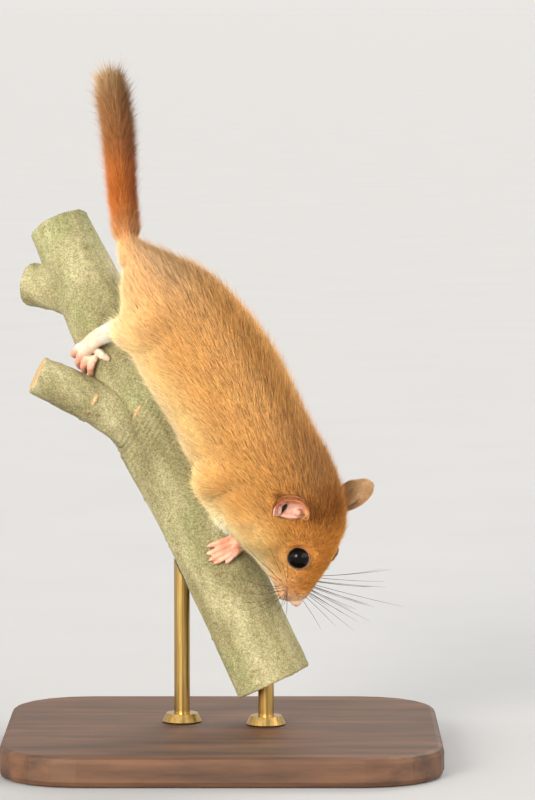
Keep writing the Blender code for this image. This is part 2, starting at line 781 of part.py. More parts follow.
def ear(name, side, parts, helpers):
    """A cup with a thin wall on the side of the crown, and the mould of the pocket that it sits in."""
    forward, sideways, upward = EAR_OPENING[side]
    opening = HeadFrame.way(forward, side * sideways, upward)
    outward = HeadFrame.way(-0.2, side * 0.8, 0.58)
    tall = (outward - outward.project(opening)).normalized()
    wide = tall.cross(opening).normalized()
    back, out, up = EAR_PLACE[side]
    centre = HeadFrame.point(back, side * out, up)
    mesh = bpy.data.meshes.new(name)
    work = bmesh.new()
    bmesh.ops.create_uvsphere(work, u_segments=18, v_segments=10, radius=1.0)
    rim = [vert for vert in work.verts if vert.co.z > EAR_RIM]
    bmesh.ops.delete(work, geom=rim, context="VERTS")
    work.to_mesh(mesh)
    turn = Matrix((wide, tall, opening)).transposed().to_4x4()
    scale = Matrix.Diagonal((EAR_WIDE * MM, EAR_LONG * MM, EAR_DEEP * MM, 1.0))
    place = Matrix.Translation(centre) @ turn @ scale
    mesh.transform(place)
    thing = new_object(name, mesh, parts)
    bmesh.ops.holes_fill(work, edges=[edge for edge in work.edges if edge.is_boundary], sides=0)
    filled = bpy.data.meshes.new(name + "_filled")
    work.to_mesh(filled)
    work.free()
    filled.transform(place)
    plug = new_object(name + "_plug", filled, helpers)
    mould = grown_copy(plug, GAP, helpers)
    discard(plug)
    wall = thing.modifiers.new("wall", "SOLIDIFY")
    wall.thickness = EAR_WALL * MM
    wall.offset = -1.0
    bake(thing)
    return mould


def box_between(name, corner_low, corner_high, collection):
    mesh = bpy.data.meshes.new(name)
    work = bmesh.new()
    bmesh.ops.create_cube(work, size=1.0)
    size = [(b - a) * MM for a, b in zip(corner_low, corner_high)]
    middle = [(a + b) / 2 * MM for a, b in zip(corner_low, corner_high)]
    bmesh.ops.transform(
        work, matrix=Matrix.Translation(middle) @ Matrix.Diagonal((*size, 1.0)), verts=work.verts
    )
    work.to_mesh(mesh)
    work.free()
    return new_object(name, mesh, collection)


def stand_base(parts):
    half_x = BASE_WIDTH / 2
    half_y = BASE_DEPTH / 2
    base = box_between("stand_base", (-half_x, -half_y, 0), (half_x, half_y, BASE_HEIGHT), parts)
    work = bmesh.new()
    work.from_mesh(base.data)
    upright = [edge for edge in work.edges if abs(edge.verts[0].co.z - edge.verts[1].co.z) > MM]
    bmesh.ops.bevel(work, geom=upright, offset=BASE_CORNER * MM, segments=5, affect="EDGES", profile=0.5)
    work.to_mesh(base.data)
    work.free()
    edge = base.modifiers.new("edge", "BEVEL")
    edge.width = BASE_EDGE * MM
    edge.segments = 2
    edge.limit_method = "ANGLE"
    bake(base)
    return base


def stand_rod(name, along, branch, parts, helpers):
    """An upright rod from the base up to the underside of the branch, with a round foot."""
    top = (Branch.point(along, 90, -ROD_REACH) + Branch.point(along, -90, -ROD_REACH)) / 2
    low = (BASE_HEIGHT + GAP) * MM
    mesh = bpy.data.meshes.new(name)
    work = bmesh.new()
    height = top.z - low
    bmesh.ops.create_cone(
        work,
        cap_ends=True,
        segments=20,
        radius1=ROD_RADIUS * MM,
        radius2=ROD_RADIUS * MM,
        depth=height,
        matrix=Matrix.Translation((top.x, top.y, low + height / 2)),
    )
    work.to_mesh(mesh)
    work.free()
    rod = new_object(name, mesh, parts)
    foot_mesh = bpy.data.meshes.new("rod_foot")
    work = bmesh.new()
    bmesh.ops.create_cone(
        work,
        cap_ends=True,
        segments=28,
        radius1=ROD_FOOT_RADIUS * MM,
        radius2=ROD_FOOT_RADIUS * 0.8 * MM,
        depth=ROD_FOOT_HEIGHT * MM,
        matrix=Matrix.Translation((top.x, top.y, low + ROD_FOOT_HEIGHT * MM / 2)),
    )
    work.to_mesh(foot_mesh)
    work.free()
    join_all(rod, [new_object("rod_foot", foot_mesh, helpers)])
    cut(rod, branch)
    return rod


class Tail:
    """The tail's middle line, for setting locks on its core."""

    rows = smooth_run([(*at(place), radius * MM) for place, radius in TAIL_LINE], 101)
    toward = turned((0.0, -1.0, 0.0))

    @classmethod
    def frame(cls, share):
        """The middle, the core's radius, the way to the tip and two ways across, at a share of the length."""
        i = share * (len(cls.rows) - 1)
        low = min(int(i), len(cls.rows) - 2)
        row = cls.rows[low] * (low + 1 - i) + cls.rows[low + 1] * (i - low)
        way = (Vector(cls.rows[low + 1][:3]) - Vector(cls.rows[low][:3])).normalized()
        across = (cls.toward - cls.toward.project(way)).normalized()
        return Vector(row[:3]), row[3], way, across, way.cross(across)


def tail_lock(tier, turn, draw, collection):
    """One flat lock, rooted in the core, that swings out to the reach of the fur and tapers to its tip."""
    share = tier / TAIL_TIERS
    middle, core, way, first, second = Tail.frame(share)
    out = first * math.cos(turn) + second * math.sin(turn)
    side = way.cross(out)
    length = LOCK_LENGTH * draw.uniform(0.88, 1.12)
    reach = (FUR_REACH[0] + (FUR_REACH[1] - FUR_REACH[0]) * share) * draw.uniform(0.92, 1.06)
    low = core / MM - LOCK_ROOT_DEPTH
    rings = []
    for along, width, thick in LOCK_SHAPE:
        lift = low + (reach - low) * math.sin(along * math.pi / 2)
        centre = middle + (way * along * length + out * lift) * MM
        half = LOCK_WIDTH / 2 * width * MM
        deep = LOCK_THICK / 2 * thick * MM
        across, above = side * half, out * deep
        rings.append([centre + across, centre + above, centre - across, centre - above])
    return loft("lock", rings, collection)


def tail_funnel(share, grow, collection):
    """A long cone that opens toward the tip, along the lie of the locks, with its wall moved out by grow."""
    middle, core, way, first, second = Tail.frame(share)
    start = (0.01 - grow - core / MM) / FUNNEL_SLOPE
    rings = []
    for along in (start, FUNNEL_LENGTH):
        radius = core + (grow + along * FUNNEL_SLOPE) * MM
        centre = middle + way * along * MM
        turns = [2 * math.pi * j / FUNNEL_SIDES for j in range(FUNNEL_SIDES)]
        rings.append([centre + (first * math.cos(a) + second * math.sin(a)) * radius for a in turns])
    return loft("funnel", rings, collection)


def build_tail(body_mould, parts, helpers):
    """The two lengths of the tail, a core in tiers of locks, parted by a funnel that follows the fur."""
    draw = random.Random(11)
    core = tube("tail_core", TAIL_LINE, 16, TAIL_SIDES, helpers)
    cut(core, body_mould)
    locks = {"tail_base": [], "tail_tip": []}
    for tier in range(TAIL_TIERS):
        name = "tail_base" if tier < BASE_TIERS else "tail_tip"
        for j in range(LOCKS_PER_TIER):
            turn = 2 * math.pi * (j + 0.5 * (tier % 2) + draw.uniform(-0.12, 0.12)) / LOCKS_PER_TIER
            locks[name].append(tail_lock(tier + 0.2, turn, draw, helpers))
    share = BASE_TIERS / TAIL_TIERS
    base = new_object("tail_base", core.data.copy(), parts)
    tip = new_object("tail_tip", core.data.copy(), parts)
    discard(core)
    join_all(base, locks["tail_base"])
    join_all(tip, locks["tail_tip"])
    inner = tail_funnel(share, 0.0, helpers)
    outer = tail_funnel(share, GAP, helpers)
    cut(base, outer)
    solve(tip, {"operation": "INTERSECT", "object": inner})
    for helper in (inner, outer):
        discard(helper)
    cut(base, body_mould)


def build():
    clear_scene()
    parts = bpy.data.collections.new("hazel_dormouse")
    helpers = bpy.data.collections.new("helpers")
    bpy.context.scene.collection.children.link(parts)
    bpy.context.scene.collection.children.link(helpers)

    branch = tube("perch_branch", BRANCH_LINE, 12, BRANCH_SIDES, parts, False, False)
    branch_mould = grown_copy(branch, GAP, helpers)
    stubs = [
        tube("perch_stub", STUB_LINE, 8, 18, parts, False, False),
        tube("perch_twig", TWIG_LINE, 6, 16, parts, False, False),
    ]
    for stub in stubs:
        cut(stub, branch_mould)

    whole = whole_body(helpers)
    rump_plane = cut_plane(CUT_RUMP_TORSO)
    torso_plane = cut_plane(CUT_TORSO_NECK)
    neck_plane = cut_plane(CUT_NECK_HEAD)
    rump = part_of(whole, "rump", parts, ahead=rump_plane)
    torso = part_of(whole, "torso", parts, behind=rump_plane, ahead=torso_plane)
    neck = part_of(whole, "neck", parts, behind=torso_plane, ahead=neck_plane)
    head = part_of(whole, "head", parts, behind=neck_plane)
    body_mould = grown_copy(whole, GAP, helpers)
    discard(whole)

    eyes = [eye("eye_right", RIGHT, parts), eye("eye_left", LEFT, parts)]
    ear_moulds = [ear("ear_right", RIGHT, parts, helpers), ear("ear_left", LEFT, parts, helpers)]

    moulds = []
    for row in LIMBS:
        upper, pair = limb(*row, parts, helpers)
        cut(upper, branch_mould)
        moulds += pair
    for length in (rump, torso, neck):
        cut(length, branch_mould)
    for length in (rump, torso, neck, head):
        for mould in moulds:
            cut_with_mould(length, mould)
    for mould in ear_moulds:
        cut(head, mould)
        cut(neck, mould)
    for mould in moulds + ear_moulds:
        discard(mould)
    finish_head(head, eyes, parts, helpers)

    build_tail(body_mould, parts, helpers)
    discard(body_mould)

    stand_base(parts)
    stand_rod("stand_rod_low", ROD_LOW_ALONG, branch_mould, parts, helpers)
    stand_rod("stand_rod_high", ROD_HIGH_ALONG, branch_mould, parts, helpers)
    discard(branch_mould)
    for thing in parts.objects:
        finish(thing)


build()
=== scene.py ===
"""Hazel dormouse, life size, climbing head down on a cut length of hazel held by a small display stand.

Places are in millimetres as they show from the front: x to the right, y away from the viewer, z up.
at() turns them into the model's own frame. Every mesh is made in millimetres and scaled once at the end.
"""

import math

import bpy
import numpy as np
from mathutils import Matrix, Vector
from mathutils.kdtree import KDTree


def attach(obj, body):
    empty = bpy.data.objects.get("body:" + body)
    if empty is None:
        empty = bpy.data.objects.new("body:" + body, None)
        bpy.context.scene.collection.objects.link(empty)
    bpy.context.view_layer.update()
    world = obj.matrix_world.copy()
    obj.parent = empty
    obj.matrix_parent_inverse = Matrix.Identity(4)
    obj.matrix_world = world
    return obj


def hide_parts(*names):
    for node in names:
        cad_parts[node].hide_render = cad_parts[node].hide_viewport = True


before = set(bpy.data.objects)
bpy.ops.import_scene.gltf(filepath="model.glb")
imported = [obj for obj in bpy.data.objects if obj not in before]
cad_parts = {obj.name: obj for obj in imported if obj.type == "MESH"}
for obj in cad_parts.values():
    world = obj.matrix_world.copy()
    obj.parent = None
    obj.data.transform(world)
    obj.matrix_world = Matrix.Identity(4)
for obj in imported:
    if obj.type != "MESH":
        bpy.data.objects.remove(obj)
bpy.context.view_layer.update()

# The view of the photograph: how far off the camera stands, how much it shows from top to bottom, the middle
# of the picture, and how far it looks down.
VIEW_DISTANCE, VIEW_HEIGHT, SENSOR = 900.0, 160.0, 36.0
VIEW_CENTRE = (9.1, 67.0)
VIEW_DOWN = math.radians(5.0)
# How far the animal's middle is moved toward the viewer, and how high the photograph's lowest line lies.
FORWARD_OF_CENTRE, BASE_HEIGHT = 12.0, 6.0
RIGHT, LEFT = SIDES = -1, 1

# Sections of the body from the tail root to the shoulders: middle, half width, height to the back, depth to
# the belly.
BODY_SECTIONS = (
    ((-18.1, 2.5, 98.0), 2.4, 2.4, 2.4),
    ((-16.4, 2.3, 95.6), 4.2, 4.0, 4.4),
    ((-14.3, 2.0, 92.2), 7.0, 6.9, 7.5),
    ((-12.0, 1.6, 88.2), 9.6, 10.2, 10.6),
    ((-9.0, 1.0, 83.3), 11.6, 12.3, 12.2),
    ((-4.9, 0.4, 77.0), 12.9, 13.2, 12.8),
    ((-0.6, 0.0, 71.0), 13.3, 13.3, 12.9),
    ((2.4, 0.0, 65.5), 13.3, 13.2, 13.0),
    ((4.9, 0.0, 60.0), 13.1, 13.2, 13.2),
    ((7.2, 0.0, 55.0), 12.8, 13.6, 13.2),
    ((10.2, 0.0, 50.0), 12.3, 13.9, 12.8),
    ((12.8, 0.0, 45.0), 11.6, 13.3, 12.2),
    ((14.2, 0.2, 40.6), 10.4, 11.8, 11.2),
)
HEAD_SECTIONS = (
    (12.0, 8.6, 9.9, 10.3),
    (9.5, 7.1, 8.2, 8.7),
    (7.0, 5.8, 6.3, 6.8),
    (5.0, 5.0, 4.7, 5.2),
    (3.0, 3.8, 3.3, 4.1),
    (1.6, 2.7, 2.3, 2.9),
    (0.7, 1.8, 1.6, 1.8),
    (0.0, 0.7, 0.7, 0.7),
)
NOSE_TIP = (14.6, 2.5, 26.2)
HEAD_FORWARD = (-0.017, 0.129, -0.991)
HEAD_UP = (0.835, -0.543, -0.085)
BACK_UP = (0.693, -0.643, 0.326)

# Depth of the coat over the skin, at shares of the run from the tail root to the nose tip.
COAT_DEPTH = ((0.0, 1.0), (0.1, 1.35), (0.62, 1.35), (0.74, 1.15), (0.84, 0.62), (0.92, 0.36), (1.0, 0.2))

TAIL_LINE = (
    ((-17.4, 1.8, 94.0), 2.4),
    ((-18.4, 2.5, 97.4), 1.9),
    ((-19.4, 4.5, 103.6), 1.5),
    ((-20.0, 7.5, 109.0), 1.3),
    ((-20.4, 13.0, 115.5), 1.2),
    ((-20.8, 18.5, 120.8), 1.1),
    ((-21.5, 24.0, 125.6), 0.95),
    ((-22.2, 29.0, 129.4), 0.6),
)
# Depth of the tail's fur at its root and at its tip.
TAIL_FUR = (0.9, 2.3)

# Depth of the fur along a leg, and how far the skin lies under the leg's outer radius.
LEG_FUR = ((0.3, 0.6, 0.76, 1.0), (1.2, 0.8, 0.3, 0.12))
LEG_SKIN_DEPTH = ((0.0, 0.6, 0.86, 1.0), (1.2, 0.8, 0.3, 0.12))

# Each leg from the body to the wrist or ankle, with its radius over the fur.
LEGS = {
    "foreleg_right": (
        ((8.0, -6.5, 53.0), 4.6),
        ((2.5, -6.5, 51.8), 4.8),
        ((-2.9, -3.8, 50.6), 3.9),
        ((-0.9, -0.2, 46.8), 2.9),
        ((1.6, 2.6, 42.6), 2.1),
    ),
    "foreleg_left": (
        ((14.5, 4.5, 50.5), 4.6),
        ((14.8, 9.5, 50.0), 4.2),
        ((13.4, 14.0, 49.2), 3.2),
        ((9.6, 16.3, 45.6), 2.3),
    ),
    "hindleg_right": (
        ((-7.5, -5.4, 85.0), 5.8),
        ((-12.0, -5.0, 80.8), 6.2),
        ((-15.3, -2.2, 79.4), 4.8),
        ((-18.6, 1.4, 80.2), 3.8),
        ((-20.6, 3.6, 80.9), 2.4),
    ),
    "hindleg_left": (
        ((-4.6, 7.4, 84.6), 5.2),
        ((-5.0, 11.5, 81.6), 5.2),
        ((-7.6, 14.8, 80.6), 4.2),
        ((-11.8, 17.4, 82.0), 2.8),
    ),
}
# Feet: spots are millimetres along the branch and degrees round it from the near side.
HAND_SOLE = ((30.8, 44), (29.0, 35))
HAND_TOES = (
    ((30.2, 30), (30.7, 0)),
    ((29.2, 27), (29.3, -5)),
    ((28.2, 27), (28.0, -6)),
    ((27.4, 30), (27.0, -2)),
    ((27.6, 40), (26.2, 13)),
)
FOOT_SOLE = ((77.0, -12), (76.4, -34))
FOOT_TOES = (
    ((77.4, -50), (77.0, -92)),
    ((76.2, -48), (74.4, -88)),
    ((75.0, -42), (72.9, -73)),
    ((74.0, -35), (71.8, -56)),
    ((74.6, -24), (72.8, -17)),
)
HAND_SIZES = (1.5, 0.6, 0.42)
FOOT_SIZES = (1.8, 0.8, 0.52)
FEET = {
    "forefoot_right": ("foreleg_right", HAND_SOLE, HAND_TOES, HAND_SIZES, (0.0, 0, 1)),
    "forefoot_left": ("foreleg_left", HAND_SOLE, HAND_TOES, HAND_SIZES, (3.0, 144, -1)),
    "hindfoot_right": ("hindleg_right", FOOT_SOLE, FOOT_TOES, FOOT_SIZES, (0.0, 0, 1)),
    "hindfoot_left": ("hindleg_left", FOOT_SOLE, FOOT_TOES, FOOT_SIZES, (1.0, 105, -1)),
}

EYE_PLACE = {RIGHT: (10.8, 5.9, 4.5), LEFT: (10.8, 5.5, 3.9)}
EYE_RADIUS = 2.35
LID_RADIUS, LID_RISE, LID_THICK = 2.22, 0.9, 0.17
EAR_PLACE = {RIGHT: (20.9, 12.6, 6.9), LEFT: (21.4, 11.1, 7.0)}
EAR_OPENING = {RIGHT: (0.60, 0.70, 0.40), LEFT: (0.62, 0.72, 0.15)}
EAR_SIZE = (3.75, 4.1, 2.3)
EAR_RIM = 0.3
EAR_WALL = 0.34
# Forms inside the ear, each with its middle across, up and out, and its half sizes: floor, front lip, knob,
# ridge behind the slit, and lower edge. Then the middle of the slit.
EAR_FOLDS = (
    ((0.0, -1.0, -1.75), (3.1, 3.5, 0.75)),
    ((-2.5, -1.0, -0.9), (0.7, 1.6, 0.6)),
    ((1.2, -0.7, -0.8), (0.85, 0.85, 0.65)),
    ((-0.9, 0.1, -1.15), (0.3, 1.4, 0.35)),
    ((-0.4, -2.5, -1.25), (2.0, 0.5, 0.45)),
)
EAR_SLIT = (-1.6, -0.75, -1.1)
# The skin under an ear sinks this far, within this distance of the ear's middle along its opening.
EAR_HOLLOW, EAR_REACH = 1.3, 4
# The most that the skin may rise past the middle of the eye, at distances from the eye's axis.
SOCKET = ((1.9, 2.15, 2.45, 2.9, 3.6), (0.1, 0.75, 1.2, 1.5, 9.0))
PAD_PLACE = (3.5, 1.9, -1.0)
PAD_SIZE = (2.55, 2.2, 2.05)
NOSE_PLACE = (0.5, 0.0, 0.35)
NOSE_SIZE = (1.05, 1.4, 1.0)
NOSTRIL_PLACE = (-0.25, 0.62, 0.3)
# How far a claw reaches past its toe, as a share of the toe, and a wrist's radius as a share of the palm's.
CLAW_REACH, WRIST = 0.17, 0.88
# Whiskers on each side, and the shortest and longest of them before they shorten toward the nose.
WHISKERS = 19
WHISKER_LENGTHS = {RIGHT: (10.0, 17.0), LEFT: (15.0, 27.0)}
MOUTH_LINE = ((6.6, 4.3, -4.2), (4.6, 3.2, -4.0), (2.9, 2.1, -3.5), (1.6, 1.0, -2.9), (1.05, 0.0, -2.45))

BRANCH_LINE = (
    ((10.5, 12.0, 10.7), 7.9),
    ((3.5, 12.3, 25.5), 7.7),
    ((-2.0, 12.5, 37.2), 7.7),
    ((-7.5, 12.5, 48.8), 7.9),
    ((-12.4, 12.6, 59.1), 8.5),
    ((-17.5, 13.0, 70.1), 7.8),
    ((-22.3, 14.0, 80.1), 7.3),
    ((-25.5, 15.4, 87.0), 7.1),
    ((-29.1, 17.2, 94.6), 6.6),
    ((-32.6, 19.6, 102.2), 6.2),
)
STUB_LINE = (
    ((-12.4, 12.5, 59.5), 5.4),
    ((-18.2, 9.6, 62.4), 4.9),
    ((-24.4, 7.9, 65.9), 4.3),
    ((-31.0, 6.3, 69.3), 4.1),
    ((-37.0, 5.2, 72.2), 4.0),
)
TWIG_LINE = (
    ((-25.0, 15.4, 86.0), 5.2),
    ((-30.5, 17.0, 88.4), 4.6),
    ((-35.0, 19.0, 89.6), 4.4),
    ((-38.5, 20.6, 90.2), 4.3),
)

# Each leaf scar on the stub: its middle, its half length round the stub and its half breadth along it.
SCARS = (((-25.4, 3.4, 67.0), 1.3, 0.4), ((-16.8, 4.2, 64.6), 1.7, 0.35))
PORES = 90
WOOD_RAMP = ((-1, "#c9a878"), (0.6, "#dcc195"), (1, "#b08c5c"))
BARK_RAMP = ((-1, "#787050"), (-0.4, "#908a64"), (0.1, "#a49e78"), (0.55, "#b4ae88"), (1, "#c6c0a0"))

# Colours of the coat from the belly at -1 to the middle of the back at 1. Each one takes over from the one
# before it between two shares of the run from the tail root to the nose tip.
RUMP_RAMP = ((-0.9, "#fbe0b4"), (-0.45, "#f6ca90"), (0.33, "#e8b078"), (0.93, "#b98e66"), (1, "#ac8256"))
TRUNK_RAMP = (
    (-0.9, "#f3d0a2"),
    (-0.5, "#f4ca94"),
    (-0.2, "#f8c684"),
    (0.36, "#e8a861"),
    (0.93, "#d89c5c"),
    (1, "#bb8044"),
)
NECK_RAMP = ((-0.9, "#fbd9a0"), (-0.12, "#ebab60"), (0.57, "#da9a52"), (0.8, "#cc8c4b"), (1, "#ac7340"))
CROWN_RAMP = (
    (-0.9, "#fbdba6"),
    (-0.34, "#f8c888"),
    (0.0, "#f7c380"),
    (0.5, "#e8a04c"),
    (0.8, "#cc8038"),
    (1, "#9a5820"),
)
FACE_RAMP = ((-0.9, "#f8dcb8"), (-0.34, "#fbd098"), (0.0, "#fbc680"), (0.5, "#f6b05c"), (1, "#f4a048"))
MUZZLE_RAMP = ((-0.9, "#fbe2ca"), (-0.5, "#f4c298"), (0.0, "#f2ba8a"), (0.5, "#f4b070"), (0.9, "#f6a852"))
BODY_RAMPS = (
    (0.08, 0.34, TRUNK_RAMP),
    (0.5, 0.7, NECK_RAMP),
    (0.72, 0.8, CROWN_RAMP),
    (0.79, 0.86, FACE_RAMP),
    (0.9, 0.965, MUZZLE_RAMP),
)
# The same along a leg from the body to the sole, and along the tail from its root.
LEG_RAMP = ((0.3, "#f6bd78"), (0.6, "#fbd8a4"), (0.78, "#fdeedb"), (1, "#fdeee0"))
TAIL_RAMP = (
    (0.0, "#d9a064"),
    (0.1, "#cc7430"),
    (0.28, "#b05c20"),
    (0.5, "#96582a"),
    (0.78, "#8e6038"),
    (1, "#a8845c"),
)
# Painted shade on the tail's right side, away from the key lamp: how much darker it is there, in red, green
# and blue.
TAIL_PAINTED_SHADE = (0.52, 0.6, 0.7)
# Fine furrows on the muzzle are painted as dark lines of painted shade; they fan out from here, measured from
# the nose tip back, out and up.
FURROW_ROOT, FURROWS = (5.4, 4.4, 1.6), 11
# Light that passes from hair to hair comes out darker and redder than the hairs, so they start out paler.
FUR_GAIN = np.array([1.04, 1.24, 1.4])
# Shade of a hair's root against its tip, on the body and on the pale feet.
ROOT_SHADE, FOOT_ROOT_SHADE = np.array([0.80, 0.70, 0.60]), np.array([0.96, 0.93, 0.9])

# Hairs in all, and the most in one piece of the coat.
HAIRS = 310000
MOST_HAIRS = 48000
# How long a hair is against the depth of the coat, and a long guard hair against the others.
BODY_HAIR, TAIL_HAIR = 2.05, 2.9
BODY_GUARD, TAIL_GUARD = 1.7, 1.3
# Shades of the hairs that fleck the back, and how wide and long they are against the others.
DARK, BRIGHT = 0.34, 1.45
FLECK_WIDTH, FLECK_LENGTH = 1.35, 0.72
# Hairs lie in small locks round every ninth hair, and each tip is drawn a little toward its lock's.
HAIRS_TO_A_LOCK, LOCK_PULL = 9, 0.1
ROOT_DEPTH = 0.08
# No hair grows this near the nose and the eyes.
BARE_NOSE, BARE_EYE = 1.55, 2.55
DOWN_WIDTH = 0.07
EAR_DOWN = (9000, 0.4, 0.8, 0.35, 0.1, 0.7)
FOOT_DOWN = (5000, 0.5, 1.0, 0.3, 0.08, 0.75)


# Numbers and frames


def at(place):
    """The model's own frame, in millimetres, of places written as they show from the front."""
    x, y, z = np.moveaxis(np.asarray(place, float), -1, 0)
    spread = 1 + y / VIEW_DISTANCE
    x = VIEW_CENTRE[0] + (x - VIEW_CENTRE[0]) * spread
    z = VIEW_CENTRE[1] + (z - VIEW_CENTRE[1]) * spread
    deep = y * math.cos(VIEW_DOWN) + z * math.sin(VIEW_DOWN) - FORWARD_OF_CENTRE
    high = z * math.cos(VIEW_DOWN) - y * math.sin(VIEW_DOWN) + BASE_HEIGHT
    return np.stack([x, deep, high], -1)


def placed(line):
    """Rows of place and radius in the model's own frame."""
    return [(*at(place), radius) for place, radius in line]


def turned(way):
    """A direction of the front view in the model's own frame."""
    x, y, z = way
    cos, sin = math.cos(VIEW_DOWN), math.sin(VIEW_DOWN)
    return unit(np.array([x, y * cos + z * sin, z * cos - y * sin]))


def unit(v):
    return v / np.maximum(np.linalg.norm(v, axis=-1, keepdims=True), 1e-9)


def flat_to(v, normal):
    """The part of each direction that lies in the surface."""
    return v - normal * np.sum(v * normal, axis=-1, keepdims=True)


def step(x, low, high):
    """Rises smoothly from 0 at low to 1 at high."""
    t = np.clip((x - low) / (high - low), 0, 1)
    return t * t * (3 - 2 * t)


def smooth_run(points, count):
    """Evenly spaced places on a smooth curve through rows of numbers."""
    rows = np.array(points, dtype=float)
    ends = np.vstack([2 * rows[0] - rows[1], rows, 2 * rows[-1] - rows[-2]])
    fine = []
    for place in np.linspace(0, len(rows) - 1, 40 * len(rows)):
        i = min(int(place), len(rows) - 2)
        t = place - i
        a, b, c, d = ends[i : i + 4]
        fine.append(b + 0.5 * t * (c - a + t * (2 * a - 5 * b + 4 * c - d + t * (3 * (b - c) + d - a))))
    fine = np.array(fine)
    lengths = np.linalg.norm(np.diff(fine[:, :3], axis=0), axis=1)
    along = np.concatenate([[0], np.cumsum(lengths)])
    wanted = np.linspace(0, along[-1], count)
    return np.stack([np.interp(wanted, along, fine[:, k]) for k in range(rows.shape[1])], axis=1)


def lobes(points, size, seed):
    """Smooth noise from -1 to 1 in lobes about size millimetres across."""
    place = np.asarray(points) / size
    cell = np.floor(place).astype(np.int64)
    part = place - cell
    part = part * part * (3 - 2 * part)
    total = np.zeros(len(place))
    for corner in range(8):
        offset = np.array([corner & 1, corner >> 1 & 1, corner >> 2 & 1])
        c = cell + offset
        value = c[:, 0] * 73856093 ^ c[:, 1] * 19349663 ^ c[:, 2] * 83492791 ^ seed * 2654435761
        value = ((value & 0xFFFFFFF) * 1103515245 + 12345) >> 8 & 0xFFFF
        total += np.prod(np.where(offset == 1, part, 1 - part), axis=1) * value
    return total / 32767.5 - 1


def linear(hex_colour):
    """An sRGB hex colour as linear red, green and blue."""
    values = [int(hex_colour[i : i + 2], 16) / 255 for i in (1, 3, 5)]
    return np.array([v / 12.92 if v <= 0.04045 else ((v + 0.055) / 1.055) ** 2.4 for v in values])


def ramp(x, *stops):
    """Linear colours that pass smoothly from stop to stop as x grows."""
    spots = [stop[0] for stop in stops]
    colours = np.array([linear(stop[1]) for stop in stops])
    return np.stack([np.interp(x, spots, colours[:, k]) for k in range(3)], axis=-1)


def mixed(a, b, share):
    share = np.asarray(share)[..., None]
    return a * (1 - share) + b * share


head_tip = at(NOSE_TIP)
head_forward = turned(HEAD_FORWARD)
head_up = unit(flat_to(turned(HEAD_UP), head_forward))
head_left = np.cross(head_up, head_forward)


def in_head(back, left, up):
    return head_tip - head_forward * back + head_left * left + head_up * up


def sided(place, side):
    """A place of the head, measured back, out and up, on one side of it."""
    return place[0], side * place[1], place[2]


def head_way(forward, left, up):
    return unit(head_forward * forward + head_left * left + head_up * up)


def body_run(count):
    """Middle, up direction and the three half sizes along the body, from the tail root to the nose tip."""
    rows = [(*at(place), *turned(BACK_UP), w, t, b) for place, w, t, b in BODY_SECTIONS]
    rows += [(*in_head(back, 0, 0), *head_up, w, t, b) for back, w, t, b in HEAD_SECTIONS]
    run = smooth_run(rows, count)
    reach = 6
    hill = np.exp(-(((np.arange(6 * reach + 1) / reach) - 3) ** 2) / 2)
    padded = np.pad(run, ((3 * reach, 3 * reach), (0, 0)), mode="reflect", reflect_type="odd")
    for k in range(6):
        run[:, k] = np.convolve(padded[:, k], hill / hill.sum(), "valid")
    return run


BODY = body_run(120)
BODY_FORWARD = unit(np.gradient(BODY[:, :3], axis=0))
BODY_UP = unit(flat_to(BODY[:, 3:6], BODY_FORWARD))
BODY_LEFT = np.cross(BODY_UP, BODY_FORWARD)
BODY_SHARE = np.linspace(0, 1, len(BODY))
BRANCH = smooth_run(placed(BRANCH_LINE), 160)
BRANCH_ALONG = np.concatenate([[0], np.cumsum(np.linalg.norm(np.diff(BRANCH[:, :3], axis=0), axis=1))])
NEAR_SIDE = turned((0, -1, 0))


def on_branch(spot, height, carry):
    """A place above the bark: millimetres along, degrees round from the near side, and height."""
    along, turn = spot[0] + carry[0], carry[1] + carry[2] * spot[1]
    row = np.array([np.interp(along, BRANCH_ALONG, BRANCH[:, k]) for k in range(4)])
    ahead = np.array([np.interp(along + 2, BRANCH_ALONG, BRANCH[:, k]) for k in range(3)])
    line = unit(ahead - row[:3])
    near = unit(flat_to(NEAR_SIDE, line))
    right = np.cross(line, near)
    angle = math.radians(turn)
    return row[:3] + (near * math.cos(angle) + right * math.sin(angle)) * (row[3] + height)


# Meshes


def grid_faces(rings, sides):
    """Faces of a closed skin over rings of points, with a flat face at each end."""
    i, j = np.meshgrid(np.arange(rings - 1), np.arange(sides), indexing="ij")
    k = (j + 1) % sides
    low, high = i * sides, (i + 1) * sides
    quads = np.stack([low + j, low + k, high + k, high + j], -1).reshape(-1, 4)
    last = (rings - 1) * sides
    return quads.tolist() + [list(range(sides))[::-1], [last + j for j in range(sides)]]


def tube(rows, sides, round_start=True, round_end=True):
    """Points and faces of a round tube along rows of place and radius."""
    rows = np.asarray(rows, float)
    forward = unit(np.gradient(rows[:, :3], axis=0))
    across = unit(np.cross(forward[0], (0.31, 0.87, 0.38)))
    turns = np.arange(sides) * 2 * math.pi / sides
    circles = []
    for i in range(len(rows)):
        across = unit(flat_to(across, forward[i]))
        other = np.cross(forward[i], across)
        ring = np.cos(turns)[:, None] * across + np.sin(turns)[:, None] * other
        circles.append(rows[i, :3] + ring * rows[i, 3])
        ends = []
        if (i == 0 and round_start) or (i == len(rows) - 1 and round_end):
            sign = -1 if i == 0 else 1
            for angle in (25, 50, 72):
                a = math.radians(angle)
                push = forward[i] * sign * math.sin(a) * rows[i, 3]
                ends.append(rows[i, :3] + push + ring * rows[i, 3] * math.cos(a))
            circles = ends[::-1] + circles if i == 0 else circles + ends
    return np.concatenate(circles), grid_faces(len(circles), sides)


